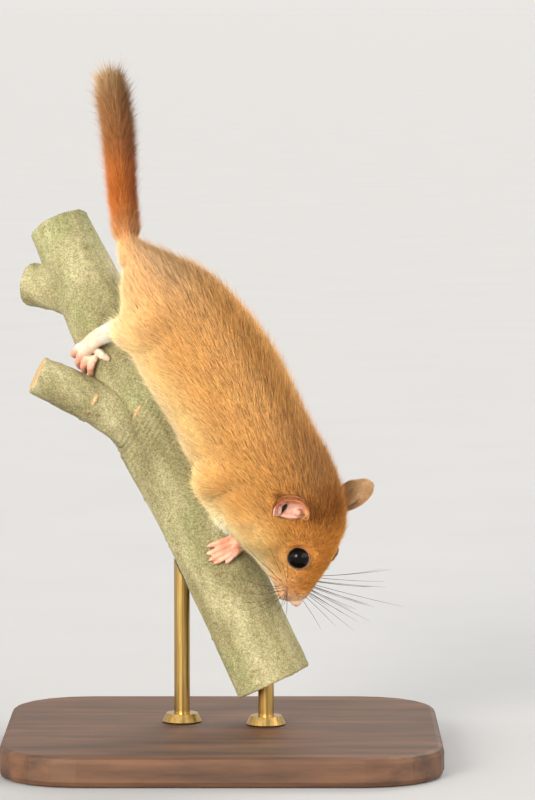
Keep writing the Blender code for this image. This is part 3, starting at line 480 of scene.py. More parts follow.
def egg(centre, size, axes, segments=32, rings=20):
    """Points and faces of an ellipsoid with half sizes along three axes."""
    heights = np.linspace(-math.pi / 2 + 0.04, math.pi / 2 - 0.04, rings)
    turns = np.arange(segments) * 2 * math.pi / segments
    h, t = np.meshgrid(heights, turns, indexing="ij")
    local = np.stack([np.cos(h) * np.cos(t), np.cos(h) * np.sin(t), np.sin(h)], -1).reshape(-1, 3)
    return centre + (local * size) @ np.array(axes), grid_faces(rings, segments)


def gather(shapes):
    """Several point and face lists as one."""
    points, faces, start = [], [], 0
    for p, f in shapes:
        points.append(p)
        faces += [[i + start for i in face] for face in f]
        start += len(p)
    return np.concatenate(points), faces


def new_mesh(name, points, faces, smooth=True):
    mesh = bpy.data.meshes.new(name)
    mesh.from_pydata((np.asarray(points) * 0.001).tolist(), [], faces)
    mesh.update()
    if smooth:
        mesh.shade_smooth()
    return mesh


def new_piece(name, mesh):
    piece = bpy.data.objects.new(name, mesh)
    bpy.context.scene.collection.objects.link(piece)
    return piece


def melted(name, shapes, voxel, rounds):
    """One smooth skin round overlapping closed shapes."""
    piece = new_piece(name, new_mesh(name, *gather(shapes)))
    remesh = piece.modifiers.new("melt", "REMESH")
    remesh.mode = "VOXEL"
    remesh.voxel_size = voxel * 0.001
    remesh.use_smooth_shade = True
    smooth = piece.modifiers.new("smooth", "SMOOTH")
    smooth.factor = 0.5
    smooth.iterations = rounds
    graph = bpy.context.evaluated_depsgraph_get()
    mesh = bpy.data.meshes.new_from_object(piece.evaluated_get(graph))
    piece.modifiers.clear()
    piece.data = mesh
    return piece


def places_of(mesh):
    places = np.empty(len(mesh.vertices) * 3)
    mesh.vertices.foreach_get("co", places)
    return places.reshape(-1, 3) * 1000


def set_places(mesh, places):
    mesh.vertices.foreach_set("co", (places * 0.001).ravel())
    mesh.update()


def normals_of(mesh):
    normals = np.empty(len(mesh.vertices) * 3)
    mesh.vertex_normals.foreach_get("vector", normals)
    return normals.reshape(-1, 3)


def triangles_of(mesh):
    mesh.calc_loop_triangles()
    corners = np.empty(len(mesh.loop_triangles) * 3, np.int32)
    mesh.loop_triangles.foreach_get("vertices", corners)
    return corners.reshape(-1, 3)


def paint(mesh, name, colours):
    """Keeps a linear colour on every point of the mesh."""
    layer = mesh.color_attributes.new(name, "FLOAT_COLOR", "POINT")
    full = np.ones((len(colours), 4), np.float32)
    full[:, :3] = colours
    layer.data.foreach_set("color", full.ravel())


def settle(piece, material, slot, *nodes):
    """Gives the piece its material, lets it ride on the model and hides the solids it stands for. The slot is
    not used.
    """
    piece.data.materials.append(MATERIALS[material])
    if nodes:
        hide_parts(*nodes)
    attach(piece, "root")
    return piece


def add(name, mesh, material, slot, *nodes):
    return settle(new_piece(name, mesh), material, slot, *nodes)


# Lie of the coat


def leg_rows(name):
    """A leg's middle line from the body to the sole, with the radius over the fur."""
    _, sole, _, sizes, carry = next(row for row in FEET.values() if row[0] == name)
    ends = [(*on_branch(spot, sizes[0] + 0.45, carry), sizes[0]) for spot in sole]
    return smooth_run(placed(LEGS[name]) + ends, 40)


LEG_RUNS = {name: leg_rows(name) for name in LEGS}
TAIL = smooth_run(placed(TAIL_LINE), 90)


def nearest(points, run):
    """For each point the nearest station of a run of places, and its distance from the middle line."""
    best = np.full(len(points), 1e9)
    index = np.zeros(len(points), int)
    for i, row in enumerate(run):
        gap = np.sum((points - row[:3]) ** 2, axis=1)
        closer = gap < best
        best[closer] = gap[closer]
        index[closer] = i
    return index, np.sqrt(best)


class Lie:
    """Where points lie on the animal: on which run, how far along and round it, and which way hair goes."""

    names = ["body", "tail", *LEG_RUNS]

    def __init__(self, points):
        index, _ = nearest(points, BODY)
        off = points - BODY[index, :3]
        side = np.sum(off * BODY_LEFT[index], axis=1)
        rise = np.sum(off * BODY_UP[index], axis=1)
        forth = np.sum(off * BODY_FORWARD[index], axis=1)
        half = np.where(rise > 0, BODY[index, 7], BODY[index, 8])
        reach = np.sqrt((side / BODY[index, 6]) ** 2 + (rise / half) ** 2) + 1e-6
        out = np.sqrt(side**2 + rise**2)
        gaps = [out - out / reach + np.maximum(np.abs(forth) - 0.8, 0)]
        flows = [-BODY_FORWARD[index]]
        turns = [np.arctan2(side, rise)]
        shares = [BODY_SHARE[index]]
        self.rise = np.clip(rise / half / reach, -1, 1)
        for name in self.names[1:]:
            run = TAIL if name == "tail" else LEG_RUNS[name]
            i, distance = nearest(points, run)
            forward = unit(np.gradient(run[:, :3], axis=0))[i]
            radius = run[i, 3] + (np.interp(i / len(run), (0, 1), TAIL_FUR) if name == "tail" else 0)
            start = step(i / len(run), *((0.02, 0.12) if name == "tail" else (0.2, 0.7)))
            gaps.append(distance - radius + 6 * (1 - start))
            flows.append(forward)
            near = unit(flat_to(NEAR_SIDE, forward))
            beside = np.cross(forward, near)
            off = points - run[i, :3]
            turns.append(np.arctan2(np.sum(off * beside, axis=1), np.sum(off * near, axis=1)))
            shares.append(i / len(run))
        gaps = np.array(gaps)
        self.owner = np.argmin(gaps, axis=0)
        pick = (self.owner, np.arange(len(points)))
        self.turn = np.array(turns)[pick]
        self.share = np.array(shares)[pick]
        weights = np.exp(-(gaps - gaps.min(axis=0)) / 1.9)
        self.weights = weights / weights.sum(axis=0)
        self.flow = np.einsum("kn,knc->nc", self.weights, np.array(flows))
        self.body_share = shares[0]
        self.tail_share = shares[1]
        self.leg_share = np.max(np.where(self.weights[2:] > 0.25, np.array(shares[2:]), 0), axis=0)


EYES = {side: in_head(*sided(place, side)) for side, place in EYE_PLACE.items()}
EARS = {side: in_head(*sided(place, side)) for side, place in EAR_PLACE.items()}
EYE_WAYS = {side: head_way(0.12, side * 0.86, 0.46) for side in SIDES}


def ear_axes(side):
    """The ear's own directions: across, up to its tip, and out of its opening."""
    forward, sideways, upward = EAR_OPENING[side]
    opening = head_way(forward, side * sideways, upward)
    tall = unit(flat_to(head_way(-0.2, side * 0.8, 0.58), opening))
    return np.cross(tall, opening), tall, opening


def coat_depth(lie):
    """How deep the fur is over the skin, in millimetres."""
    shares, depths = zip(*COAT_DEPTH)
    body = np.interp(lie.body_share, shares, depths)
    tail = np.interp(lie.tail_share, (0, 1), TAIL_FUR)
    leg = np.interp(lie.leg_share, *LEG_FUR)
    w = lie.weights
    return w[0] * body + w[1] * tail + w[2:].sum(axis=0) * leg


def coat_colours(points, lie):
    """The colours of the markings at the hair's root and at its tip, with painted shade in the muzzle's
    furrows and on the tail's right side, and painted light on the tail's left side.
    """
    tip = ramp(lie.rise, *RUMP_RAMP)
    for start, full, stops in BODY_RAMPS:
        tip = mixed(tip, ramp(lie.rise, *stops), step(lie.body_share, start, full))
    tip = mixed(tip, linear("#f0d0b0"), 0.7 * step(lie.body_share, 0.955, 0.99))
    # Painted shade in the muzzle's fine furrows: dark lines that fan out on each side.
    for side in SIDES:
        off = points - in_head(*sided(FURROW_ROOT, side))
        spread = np.arctan2(off @ head_up, off @ head_forward)
        gap = np.linalg.norm(off, axis=1)
        furrow = step(np.sin(FURROWS * spread + 0.6), 0.5, 0.95)
        furrow = furrow * step(gap, 0.5, 1.2) * step(-gap, -5.2, -3.6)
        tip = tip * (1 - 0.36 * furrow * (np.abs(spread) < 1.3))[:, None]
    leg = ramp(lie.leg_share, *LEG_RAMP)
    aside = np.sin(lie.turn)
    # The tail is painted darker on its right side as painted shade, and up to a quarter lighter on its left
    # side as painted light from the key lamp.
    dusk = np.outer(step(aside, -0.1, 0.7), TAIL_PAINTED_SHADE)
    tail = ramp(lie.tail_share, *TAIL_RAMP) * (1 - dusk + 0.25 * step(-aside, 0.2, 0.9)[:, None])
    w = lie.weights
    tip = w[0][:, None] * tip + w[1][:, None] * tail + w[2:].sum(axis=0)[:, None] * leg
    for eye in EYES.values():
        near = np.linalg.norm(points - eye, axis=1)
        tip = tip * (1 - 0.22 * step(-near, -3.6, -2.6) * (lie.owner == 0))[:, None]
    tip = tip * (1 + 0.10 * lobes(points, 3.1, 5) + 0.07 * lobes(points, 1.1, 6))[:, None]
    tip = tip * FUR_GAIN
    under = mixed(ROOT_SHADE, FOOT_ROOT_SHADE, step(lie.leg_share, 0.5, 0.75))
    return np.clip(tip * under, 0, 0.92), np.clip(tip, 0, 0.95)


# Skin


def body_shape():
    """The body without its coat."""
    shares, depths = zip(*COAT_DEPTH)
    depth = np.interp(BODY_SHARE, shares, depths)
    turns = np.arange(72) * 2 * math.pi / 72
    rings = []
    for i in range(len(BODY)):
        width, top, bottom = np.maximum(BODY[i, 6:9] - depth[i], 0.35)
        side = np.cos(turns)[:, None] * width * BODY_LEFT[i]
        rise = np.sin(turns)[:, None] * np.where(np.sin(turns) > 0, top, bottom)[:, None] * BODY_UP[i]
        rings.append(BODY[i, :3] + side + rise)
    return np.concatenate(rings), grid_faces(len(rings), 72)


def eased(mesh, share, rounds):
    """Smooths the places of the mesh again and again where share is high, so that creases fade out."""
    places = places_of(mesh)
    ends = np.empty(len(mesh.edges) * 2, np.int32)
    mesh.edges.foreach_get("vertices", ends)
    a, b = ends.reshape(-1, 2).T
    count = np.bincount(ends, minlength=len(places))[:, None]
    for _ in range(rounds):
        total = np.stack(
            [
                np.bincount(a, places[b, k], len(places)) + np.bincount(b, places[a, k], len(places))
                for k in range(3)
            ],
            axis=1,
        )
        places = places + (total / count - places) * (0.5 * share)[:, None]
    set_places(mesh, places)
    return places


def eye_socket(places, side):
    """Presses the skin down round the eye, so that the ball stands in a shallow dish."""
    way = EYE_WAYS[side]
    off = places - EYES[side]
    height = off @ way
    radius = np.linalg.norm(off - height[:, None] * way, axis=1)
    most = np.interp(radius, *SOCKET)
    drop = np.where((radius < SOCKET[0][-1]) & (height > most) & (height > -2), height - most, 0)
    return places - drop[:, None] * way


def ear_hollow(places, side):
    """Sinks the skin under the ear, so that its floor shows."""
    wide, tall, opening = ear_axes(side)
    off = places - EARS[side]
    gap = np.sqrt((off @ wide / EAR_SIZE[0]) ** 2 + (off @ tall / EAR_SIZE[1]) ** 2)
    hollow = step(-gap, -0.95, -0.7) * (np.abs(off @ opening) < EAR_REACH)
    return places - opening * (EAR_HOLLOW * hollow)[:, None]


def furrowed(places, normals, line, deep, wide, narrow):
    """A groove of the given depth along a line, whose sides slope between two distances from it."""
    _, gap = nearest(places, line)
    return places - normals * (deep * step(-gap, -wide, -narrow))[:, None]


def body_skin():
    """One skin over body, tail and legs, with the muzzle, the eyes' sockets, the mouth and the nostrils."""
    shapes = [body_shape(), tube(TAIL, 20)]
    for run in LEG_RUNS.values():
        rows = run.copy()
        rows[:, 3] -= np.interp(np.linspace(0, 1, len(rows)), *LEG_SKIN_DEPTH)
        shapes.append(tube(rows[:-6], 28))
    axes = (head_forward, head_left, head_up)
    shapes.append(egg(in_head(*NOSE_PLACE), NOSE_SIZE, axes))
    for side in SIDES:
        shapes.append(egg(in_head(*sided(PAD_PLACE, side)), PAD_SIZE, axes))
    piece = melted("dormouse_skin", shapes, 0.34, 6)
    mesh = piece.data
    lie = Lie(places_of(mesh))
    legs = lie.weights[2:].sum(axis=0)
    places = eased(mesh, step(legs, 0.01, 0.2) * (1 - step(lie.leg_share, 0.5, 0.7)), 180)
    normals = normals_of(mesh)
    for side in SIDES:
        places = eye_socket(places, side)
        mouth = smooth_run([in_head(*sided(place, side)) for place in MOUTH_LINE], 30)
        places = furrowed(places, normals, mouth, 0.4, 0.7, 0.15)
        places = furrowed(places, normals, [in_head(*sided(NOSTRIL_PLACE, side))], 0.35, 0.45, 0.1)
        places = ear_hollow(places, side)
    set_places(mesh, places)
    root, _ = coat_colours(places, Lie(places))
    nose_gap = np.linalg.norm(places - in_head(0.3, 0, 0.2), axis=1)
    paint(mesh, "coat", mixed(root * 1.1, linear("#dbb69c"), step(-nose_gap, -2.1, -1.4)))
    return settle(piece, "skin", "coat", "rump", "torso", "neck", "head", "tail_base", "tail_tip", *LEGS)


# Coat


def strand_mesh(name, root, tip, side, up, width, root_colour, tip_colour, spot):
    """Fine three-sided hairs that taper to a point, each with its own patch of the unwrap."""
    n = len(root)
    half, deep = side * width[:, None] / 2, up * width[:, None] * 0.3
    points = np.stack([root - half, root + half, root + deep, tip], axis=1).reshape(-1, 3)
    pattern = np.array([0, 1, 3, 1, 2, 3, 2, 0, 3, 2, 1, 0])
    loops = (np.arange(n)[:, None] * 4 + pattern).ravel()
    mesh = bpy.data.meshes.new(name)
    mesh.vertices.add(len(points))
    mesh.vertices.foreach_set("co", (points * 0.001).ravel())
    mesh.loops.add(len(loops))
    mesh.loops.foreach_set("vertex_index", loops.astype(np.int32))
    mesh.polygons.add(4 * n)
    mesh.polygons.foreach_set("loop_start", np.arange(0, 12 * n, 3, dtype=np.int32))
    mesh.polygons.foreach_set("loop_total", np.full(4 * n, 3, np.int32))
    mesh.update(calc_edges=True)
    mesh.shade_flat()
    paint(mesh, "coat", np.stack([root_colour] * 3 + [tip_colour], axis=1).reshape(-1, 3))
    patch = np.array([[-1, -1], [1, -1], [0, -0.5], [0, 1]]) * 0.0015
    uv = (spot[:, None, :] + patch[None, :, :]).reshape(-1, 2)[loops]
    layer = mesh.uv_layers.new(name="OFBake")
    layer.data.foreach_set("uv", np.clip(uv, 0.0, 1.0).astype(np.float32).ravel())
    return mesh


def closest(seeds, points):
    """For each point the number of the nearest seed."""
    tree = KDTree(len(seeds))
    for k, seed in enumerate(seeds):
        tree.insert(seed, k)
    tree.balance()
    return np.array([tree.find(point)[1] for point in points])


def scatter(mesh, count, density, draw):
    """Seeded random places on the mesh, thicker where density is higher, with the normal at each."""
    places, normals, corners = places_of(mesh), normals_of(mesh), triangles_of(mesh)
    a, b, c = (places[corners[:, k]] for k in range(3))
    area = np.linalg.norm(np.cross(b - a, c - a), axis=1) / 2
    weight = area * density[corners].mean(axis=1)
    chosen = draw.choice(len(corners), count, p=weight / weight.sum())
    u, v = draw.random(count), draw.random(count)
    flip = u + v > 1
    u[flip], v[flip] = 1 - u[flip], 1 - v[flip]
    w = np.stack([1 - u - v, u, v], axis=1)[..., None]
    tri = corners[chosen]
    return (places[tri] * w).sum(axis=1), unit((normals[tri] * w).sum(axis=1))


def comb(points, normals, flow, length, lift, width, draw):
    """Hairs that rise from the skin and lie over along the flow, drawn together in small locks."""
    sway = lobes(points, 5.0, 11) * 0.14 + lobes(points, 1.6, 12) * 0.1 + draw.normal(0, 0.17, len(points))
    flow = unit(flat_to(flow, normals))
    flow = unit(flow + np.cross(flow, normals) * sway[:, None])
    side = np.cross(flow, normals)
    angle = (lift * 0.66 + draw.normal(0, 0.09, len(points)))[:, None]
    tip = points + length[:, None] * (flow * np.cos(angle) + normals * np.sin(angle))
    nearest_lock = closest(points[::HAIRS_TO_A_LOCK], points) * HAIRS_TO_A_LOCK
    tip = tip + (tip[nearest_lock] - tip) * LOCK_PULL
    root = points - normals * ROOT_DEPTH
    return root, tip, side, unit(np.cross(side, tip - root)), width


def down(name, mesh, slot, seed, density, flow, tones, look, centre, patch):
    """Short soft hair on a bare piece. The look is: how many hairs, the shortest and longest, their lift, how
    uneven their tones are, and how dark their roots are."""
    count, shortest, longest, lift, uneven, at_root = look
    draw = np.random.default_rng(seed)
    points, normals = scatter(mesh, count, density, draw)
    lengths = draw.uniform(shortest, longest, count)
    lifts, widths = np.full(count, lift), np.full(count, DOWN_WIDTH)
    hairs = comb(points, normals, np.broadcast_to(flow, points.shape), lengths, lifts, widths, draw)
    tip = ramp(lobes(points, 1.0, 8), (-1, tones[0]), (1, tones[1]))
    tip = tip * draw.normal(1, uneven, count)[:, None]
    spot = (points - centre) @ np.transpose(patch) + 0.5
    label = name + "_hair"
    add(label, strand_mesh(label, *hairs, tip * at_root, tip, spot), "fur", slot)


def bare_and_combed(points, normals, flow):
    """Where no hair grows, how it goes round the eyes, and how much shorter it is near eyes and ears."""
    bare = np.linalg.norm(points - in_head(0.2, 0, 0.2), axis=1) < BARE_NOSE
    shorter = np.ones(len(points))
    for side in SIDES:
        off = points - EYES[side]
        gap = np.linalg.norm(off, axis=1)
        bare |= gap < BARE_EYE
        round_eye = step(-gap, -4.4, -2.6)[:, None]
        flow = flow * (1 - 0.6 * round_eye) + unit(flat_to(off, normals)) * 0.6 * round_eye
        shorter *= np.interp(gap, (2.5, 3.2, 5.5), (0.3, 0.5, 1.0))
        wide, tall, opening = ear_axes(side)
        off = points - EARS[side]
        x, y = off @ wide / EAR_SIZE[0], off @ tall / EAR_SIZE[1]
        ear_gap = np.sqrt(x**2 + y**2)
        near_ear = (np.abs(off @ opening) < EAR_REACH) & (ear_gap < 1.9)
        bare |= near_ear & (ear_gap < 0.82) & (y > -0.8)
        shorter *= np.where(near_ear, np.interp(ear_gap, (0.7, 1.6), (0.4, 1.0)), 1)
    return bare, flow, shorter


def grow_coat(skin):
    """All the fur of the animal, in pieces by the part of the body that it grows on."""
    draw = np.random.default_rng(17)
    lie = Lie(places_of(skin.data))
    density = 1 + 1.2 * step(lie.body_share, 0.72, 0.86) * (lie.owner == 0)
    density += 1.0 * (lie.leg_share > 0.5) + 1.6 * (lie.owner == 1)
    points, normals = scatter(skin.data, HAIRS, density, draw)
    lie = Lie(points)
    on_body, on_tail = lie.owner == 0, lie.owner == 1
    depth = coat_depth(lie)
    lengths = (depth * np.where(on_tail, TAIL_HAIR, BODY_HAIR) + 0.3) * draw.uniform(0.65, 1.15, HAIRS)
    bare, flow, shorter = bare_and_combed(points, normals, lie.flow)
    lengths *= shorter
    # Long guard hairs stand out of the coat, most of all along the back.
    guard = draw.random(HAIRS) < 0.04 + 0.08 * step(lie.rise, 0.2, 0.8) * on_body
    lengths[guard] *= np.where(on_tail[guard], TAIL_GUARD, BODY_GUARD)
    lengths *= np.interp(lie.tail_share, (0.0, 0.1), (0.45, 1.0)) ** on_tail
    lift = 0.5 + 0.2 * guard + (0.3 + 0.1 * draw.normal(0, 1, HAIRS)) * on_tail
    width = np.interp(depth, (0.2, 0.6, 1.3), (0.08, 0.1, 0.115)) * draw.uniform(0.75, 1.2, HAIRS)
    root_colour, tip_colour = coat_colours(points, lie)
    shade = draw.normal(1.0, 0.18, HAIRS)
    # Some hairs are much darker or brighter than the rest and flick the back with short ticks.
    dusky = 0.09 + 0.19 * step(lie.rise, -0.3, 0.9) * step(lie.body_share, 0.02, 0.2)
    pick = draw.random(HAIRS)
    dark, bright = pick < dusky, pick > 1 - 0.7 * dusky
    marked = dark | bright
    shade = np.where(dark, DARK, np.where(bright, BRIGHT, shade))
    width = np.where(marked, width * FLECK_WIDTH, width)
    lengths = np.where(marked, lengths * FLECK_LENGTH, lengths)
    lift = np.where(marked, lift + 0.08, lift)
    root_colour = root_colour * np.sqrt(shade)[:, None]
    tip_colour = np.clip(tip_colour * shade[:, None], 0, 1)
    hairs = comb(points, normals, flow, lengths, lift, width, draw)
    for k, name in enumerate(Lie.names):
        mine = np.flatnonzero(~bare & (lie.owner == k))
        mine = mine[np.argsort(lie.share[mine], kind="stable")]
        groups = np.array_split(mine, max(1, math.ceil(len(mine) / MOST_HAIRS)))
        for g, group in enumerate(groups):
            share = lie.share[group]
            along = (share - share.min()) / max(np.ptp(share), 1e-6)
            spot = np.stack([lie.turn[group] / (2 * math.pi) + 0.5, along], axis=1) * 0.994 + 0.003
            label = f"coat_{name}_{g + 1}" if len(groups) > 1 else f"coat_{name}"
            colours = (root_colour[group], tip_colour[group])
            mesh = strand_mesh(label, *(part[group] for part in hairs), *colours, spot)
            add(label, mesh, "fur", "tail_coat" if name == "tail" else "coat")


# Eyes, ears, whiskers and feet


def make_eye(side, name):
    """A wet ball with a thin bare lid round it, slightly oval and uneven."""
    way = EYE_WAYS[side]
    across = unit(flat_to(head_forward, way))
    other = np.cross(way, across)
    ball = egg(EYES[side], (EYE_RADIUS,) * 3, (across, other, way), 64, 40)
    add(name + "_ball", new_mesh(name, *ball), "eye", "eye", name)
    around, about = 72, 10
    ring, faces = [], []
    for i, t in enumerate(np.linspace(0, 2 * math.pi, around + 1)[:-1]):
        out = across * math.cos(t) + other * math.sin(t)
        middle = EYES[side] + out * (LID_RADIUS + 0.05 * math.cos(2 * t)) + way * LID_RISE
        thick = LID_THICK + 0.02 * math.sin(7 * t)
        for j in range(about):
            a = 2 * math.pi * j / about
            ring.append(middle + out * math.cos(a) * thick + way * math.sin(a) * thick * 0.8)
            k, m = (i + 1) % around, (j + 1) % about
            faces.append([i * about + j, k * about + j, k * about + m, i * about + m])
    add(name + "_lid", new_mesh(name + "_lid", ring, faces), "lid", "eye")


def ear_cup(side):
    """Local points of a thin cup, sunk into the cheek below on the near side, and the faces over them."""
    size = np.array(EAR_SIZE)
    sides = 64
    turns = np.arange(sides) * 2 * math.pi / sides
    wave = 1 + 0.02 * np.sin(turns * 3 + 1)[:, None]
    outer, inner = [], []
    for level in np.linspace(-math.pi / 2 + 0.05, math.asin(EAR_RIM), 24):
        flat, high = math.cos(level), np.full(sides, math.sin(level))
        ring = np.stack([np.cos(turns) * flat, np.sin(turns) * flat, high], -1)
        outer.append(ring * size * wave)
        inner.append(ring * (size - EAR_WALL) * wave)
    rings = outer + inner[::-1]
    local = np.concatenate(rings)
    below = -local[:, 1] / size[1]
    if side == RIGHT:
        local[:, 2] -= 2.2 * step(below, 0.2, 0.85)
    else:
        local[:, 0] *= 0.8 - 0.14 * step(below, -0.2, 0.9)
    return local, grid_faces(len(rings), sides)


def make_ear(side, name):
    """A thin cup with a brown rim, pink inside, with its floor, folds, knob and slit, and short hair.
    Painted shade turns the inside orange-brown under the upper rim and the slit nearly black.
    """
    axes = wide, tall, opening = ear_axes(side)
    centre, size = EARS[side], EAR_SIZE

    def within(x, y, z):
        return centre - wide * side * x + tall * y + opening * z

    local, faces = ear_cup(side)
    shapes = [(local @ np.array(axes) + centre, faces)]
    shapes += [egg(within(*place), half, axes) for place, half in EAR_FOLDS]
    piece = melted(name + "_cup", shapes, 0.13, 5)
    mesh = piece.data
    places = places_of(mesh)
    off = places - centre
    x, y, z = off @ wide / size[0], off @ tall / size[1], off @ opening / size[2]
    reach = np.sqrt(x**2 + y**2 + np.minimum(z, 0) ** 2)
    inside = step(normals_of(mesh) @ opening, -0.15, 0.25) * step(-reach, -0.99, -0.93)
    back = ramp(lobes(places, 1.2, 3), (-1, "#a98058"), (1, "#c9a27c"))
    if side == RIGHT:
        back = mixed(back, linear("#7c4420"), step(z, -0.3, 0.05))
    pink = ramp(lobes(places, 0.9, 4), (-1, "#dea08a"), (1, "#f4c6b4"))
    pink = mixed(pink, linear("#d09c6c"), step(-side * x, 0.45, 0.8))
    # Painted shade: the inside turns orange-brown toward the top, under the upper rim.
    pink = mixed(pink, linear("#b8662e"), 0.85 * step(y, 0.15, 0.5))
    from_slit = places - within(*EAR_SLIT)
    along = from_slit @ unit(tall - 0.45 * side * wide)
    slit = inside * step(-np.sqrt(np.sum(from_slit**2, axis=1) - 0.93 * along**2), -0.62, -0.36)
    set_places(mesh, places - opening * (0.45 * slit)[:, None])
    # The slit is painted nearly black, as painted shade in it.
    paint(mesh, "coat", mixed(back, pink, inside) * (1 - 0.95 * slit)[:, None])
    settle(piece, "ear", "ear_skin", name)
    tones = ("#a8642c", "#c07c3c") if side == RIGHT else ("#a08058", "#c4a478")
    flow, patch = tall + opening * 0.4, (wide / 9, tall / 10)
    down(name, mesh, "ear_skin", 31 + side, 1 - 0.96 * inside, flow, tones, EAR_DOWN, centre, patch)


def make_whiskers():
    """Stiff dark whiskers in rows on both pads, swept back on the near side and forward on the far side."""
    draw = np.random.default_rng(7)
    back, _, up = PAD_PLACE
    shapes = []
    for side in SIDES:
        near = side == RIGHT
        for i in range(WHISKERS):
            row, place = divmod(i, 6)
            root = in_head(back - 1.4 + 0.6 * place, side * (3.6 - 0.25 * row), up + 1.4 - 0.7 * row)
            sweep = 0.62 - 0.27 * place + draw.uniform(-0.15, 0.15)
            lift = 0.5 - 0.36 * row + draw.uniform(-0.1, 0.1)
            length = draw.uniform(*WHISKER_LENGTHS[side]) * (0.6 + 0.09 * place)
            if not near:
                sweep, lift = sweep * 0.45 + 0.42, lift * 0.6 + 0.35
            out = head_way(sweep, side * 0.9, lift) * length
            bend = head_way(sweep - (0.35 if near else 0.05), side * 0.9, lift - 0.15) * length
            rows = [
                (*(root - out * 0.8 / length), 0.06),
                (*(root + out * 0.4), 0.045),
                (*(root + out * 0.55 + bend * 0.22), 0.032),
                (*(root + out * 0.5 + bend * 0.5), 0.012),
            ]
            shapes.append(tube(smooth_run(rows, 14), 6, False, False))
    add("whiskers", new_mesh("whiskers", *gather(shapes)), "whisker", "coat")


def toe_and_claw(root, tip, thick, thin, carry):
    """A toe arched over the bark, knuckled and padded, and its small claw."""
    root, tip = np.array(root, float), np.array(tip, float)
    share = np.linspace(0, 1, 7)
    spots = root + np.outer(share, tip - root)
    rise = np.interp(share, (0, 0.5, 0.85, 1), (thick + 0.5, thick + 0.62, thin + 0.5, thin + 0.3))
    girths = np.array([1.1, 0.9, 1.04, 0.84, 1.28, 1.05]) * ([thick] * 4 + [thin] * 2)
    girth = np.interp(share, (0, 0.2, 0.42, 0.6, 0.8, 1), girths)
    toe = [(*on_branch(s, h, carry), r) for s, h, r in zip(spots, rise, girth)]
    past = tip + (tip - root) * CLAW_REACH
    claw_line = ((spots[-2], thin + 0.6, 0.15), (tip, thin + 0.7, 0.14), (past, 0.3, 0.04))
    claw = [(*on_branch(s, h, carry), r) for s, h, r in claw_line]
    return tube(smooth_run(toe, 24), 18), tube(smooth_run(claw, 10), 10)


def make_foot(name):
    """A bare foot with its pads, creased toes and small claws, and thin hair at the wrist or ankle."""
    leg_name, sole, toes, (palm, thick, thin), carry = FEET[name]
    run = LEG_RUNS[leg_name][-15:].copy()
    run[:, 3] = np.minimum(run[:, 3], palm * WRIST)
    run[:5, 3] *= 0.8
    toe_shapes, claws = zip(*(toe_and_claw(*toe, thick, thin, carry) for toe in toes))
    piece = melted(name + "_skin", [tube(run, 28), *toe_shapes], 0.17, 4)
    mesh = piece.data
    places = places_of(mesh)
    creases = 0.035 * lobes(places * np.array([1, 1, 2.5]), 0.35, 21) + 0.03 * lobes(places, 0.6, 22)
    set_places(mesh, places + normals_of(mesh) * creases[:, None])
    middle = on_branch(sole[1], palm, carry)
    onward = unit(on_branch(toes[2][1], thin, carry) - middle)
    ahead = (places - middle) @ onward
    tone = lobes(places, 1.3, 23)
    if name.startswith("fore"):
        colour = ramp(tone, (-1, "#cc8068"), (0, "#e8a48a"), (1, "#fac8b4"))
        tones = ("#e8ae84", "#f6cfae")
    else:
        colour = ramp(tone, (-1, "#f0c0a8"), (0, "#f9dcc8"), (1, "#fdeee2"))
        colour = mixed(colour, linear("#dd9478"), 0.75 * step(ahead, 0.9, 3.4))
        tones = ("#f0cdaa", "#fdeee0")
    paint(mesh, "coat", colour)
    settle(piece, "foot", "foot_skin", name)
    patch = ((1 / 24, 0, 0), (0, 0, 1 / 24))
    down(name, mesh, "foot_skin", 51, step(-ahead, -1.2, 1.2), onward, tones, FOOT_DOWN, middle, patch)
    add(name + "_claws", new_mesh(name + "_claws", *gather(claws)), "claw", "foot_skin")


# Perch and stand


def sawn_ends(places, normals, runs):
    """Which points lie on a sawn end, and how far each of them is from the middle of that end."""
    cut, ring = np.zeros((2, len(places)))
    ends = [(run[-1], run[-2]) for run in runs] + [(runs[0][0], runs[0][1])]
    for spot, inward in ends:
        way = unit(spot[:3] - inward[:3])
        off = places - spot[:3]
        depth = off @ way
        across = np.linalg.norm(off - depth[:, None] * way, axis=1)
        here = (np.abs(depth) < 0.5) & (across < spot[3] - 0.35) & (normals @ way > 0.5)
        cut[here], ring[here] = 1, across[here]
    return cut, ring


def pore_marks(places, line):
    """The small raised pores of the bark, each drawn out across the branch."""
    pores = places[np.random.default_rng(5).choice(len(places), PORES)]
    gap = places - pores[closest(pores, places)]
    gap = gap + (gap @ line)[:, None] * line
    return step(-np.linalg.norm(gap, axis=1), -0.85, -0.2)


def leaf_scars(places, stub_way):
    """Relief and share of the leaf scars: raised ovals in a shallow ditch."""
    rise, scar = np.zeros((2, len(places)))
    for spot, long, broad in SCARS:
        off = places - at(spot)
        t = off @ stub_way
        around = np.sqrt(np.maximum(np.sum(off**2, axis=1) - t**2, 0))
        shape = np.sqrt((t / broad) ** 2 + (around / long) ** 2)
        rise += 0.34 * step(-shape, -1.1, -0.7) - 0.16 * np.exp(-((shape - 1.5) ** 2) / 0.12)
        scar = np.maximum(scar, step(-shape, -1.15, -0.8))
    return rise, scar


def wrinkles(places, collar, stub_way):
    """Relief of the wrinkled collar where the stub leaves the branch."""
    off = places - collar
    ahead = off @ stub_way
    beside = np.linalg.norm(off - ahead[:, None] * stub_way, axis=1)
    share = step(-np.abs(ahead + 3.0), -4.5, -1.5) * step(-beside, -9.0, -6.0)
    return 0.13 * share * np.sin(6.6 * ahead + 2.0 * lobes(places, 5.0, 47))


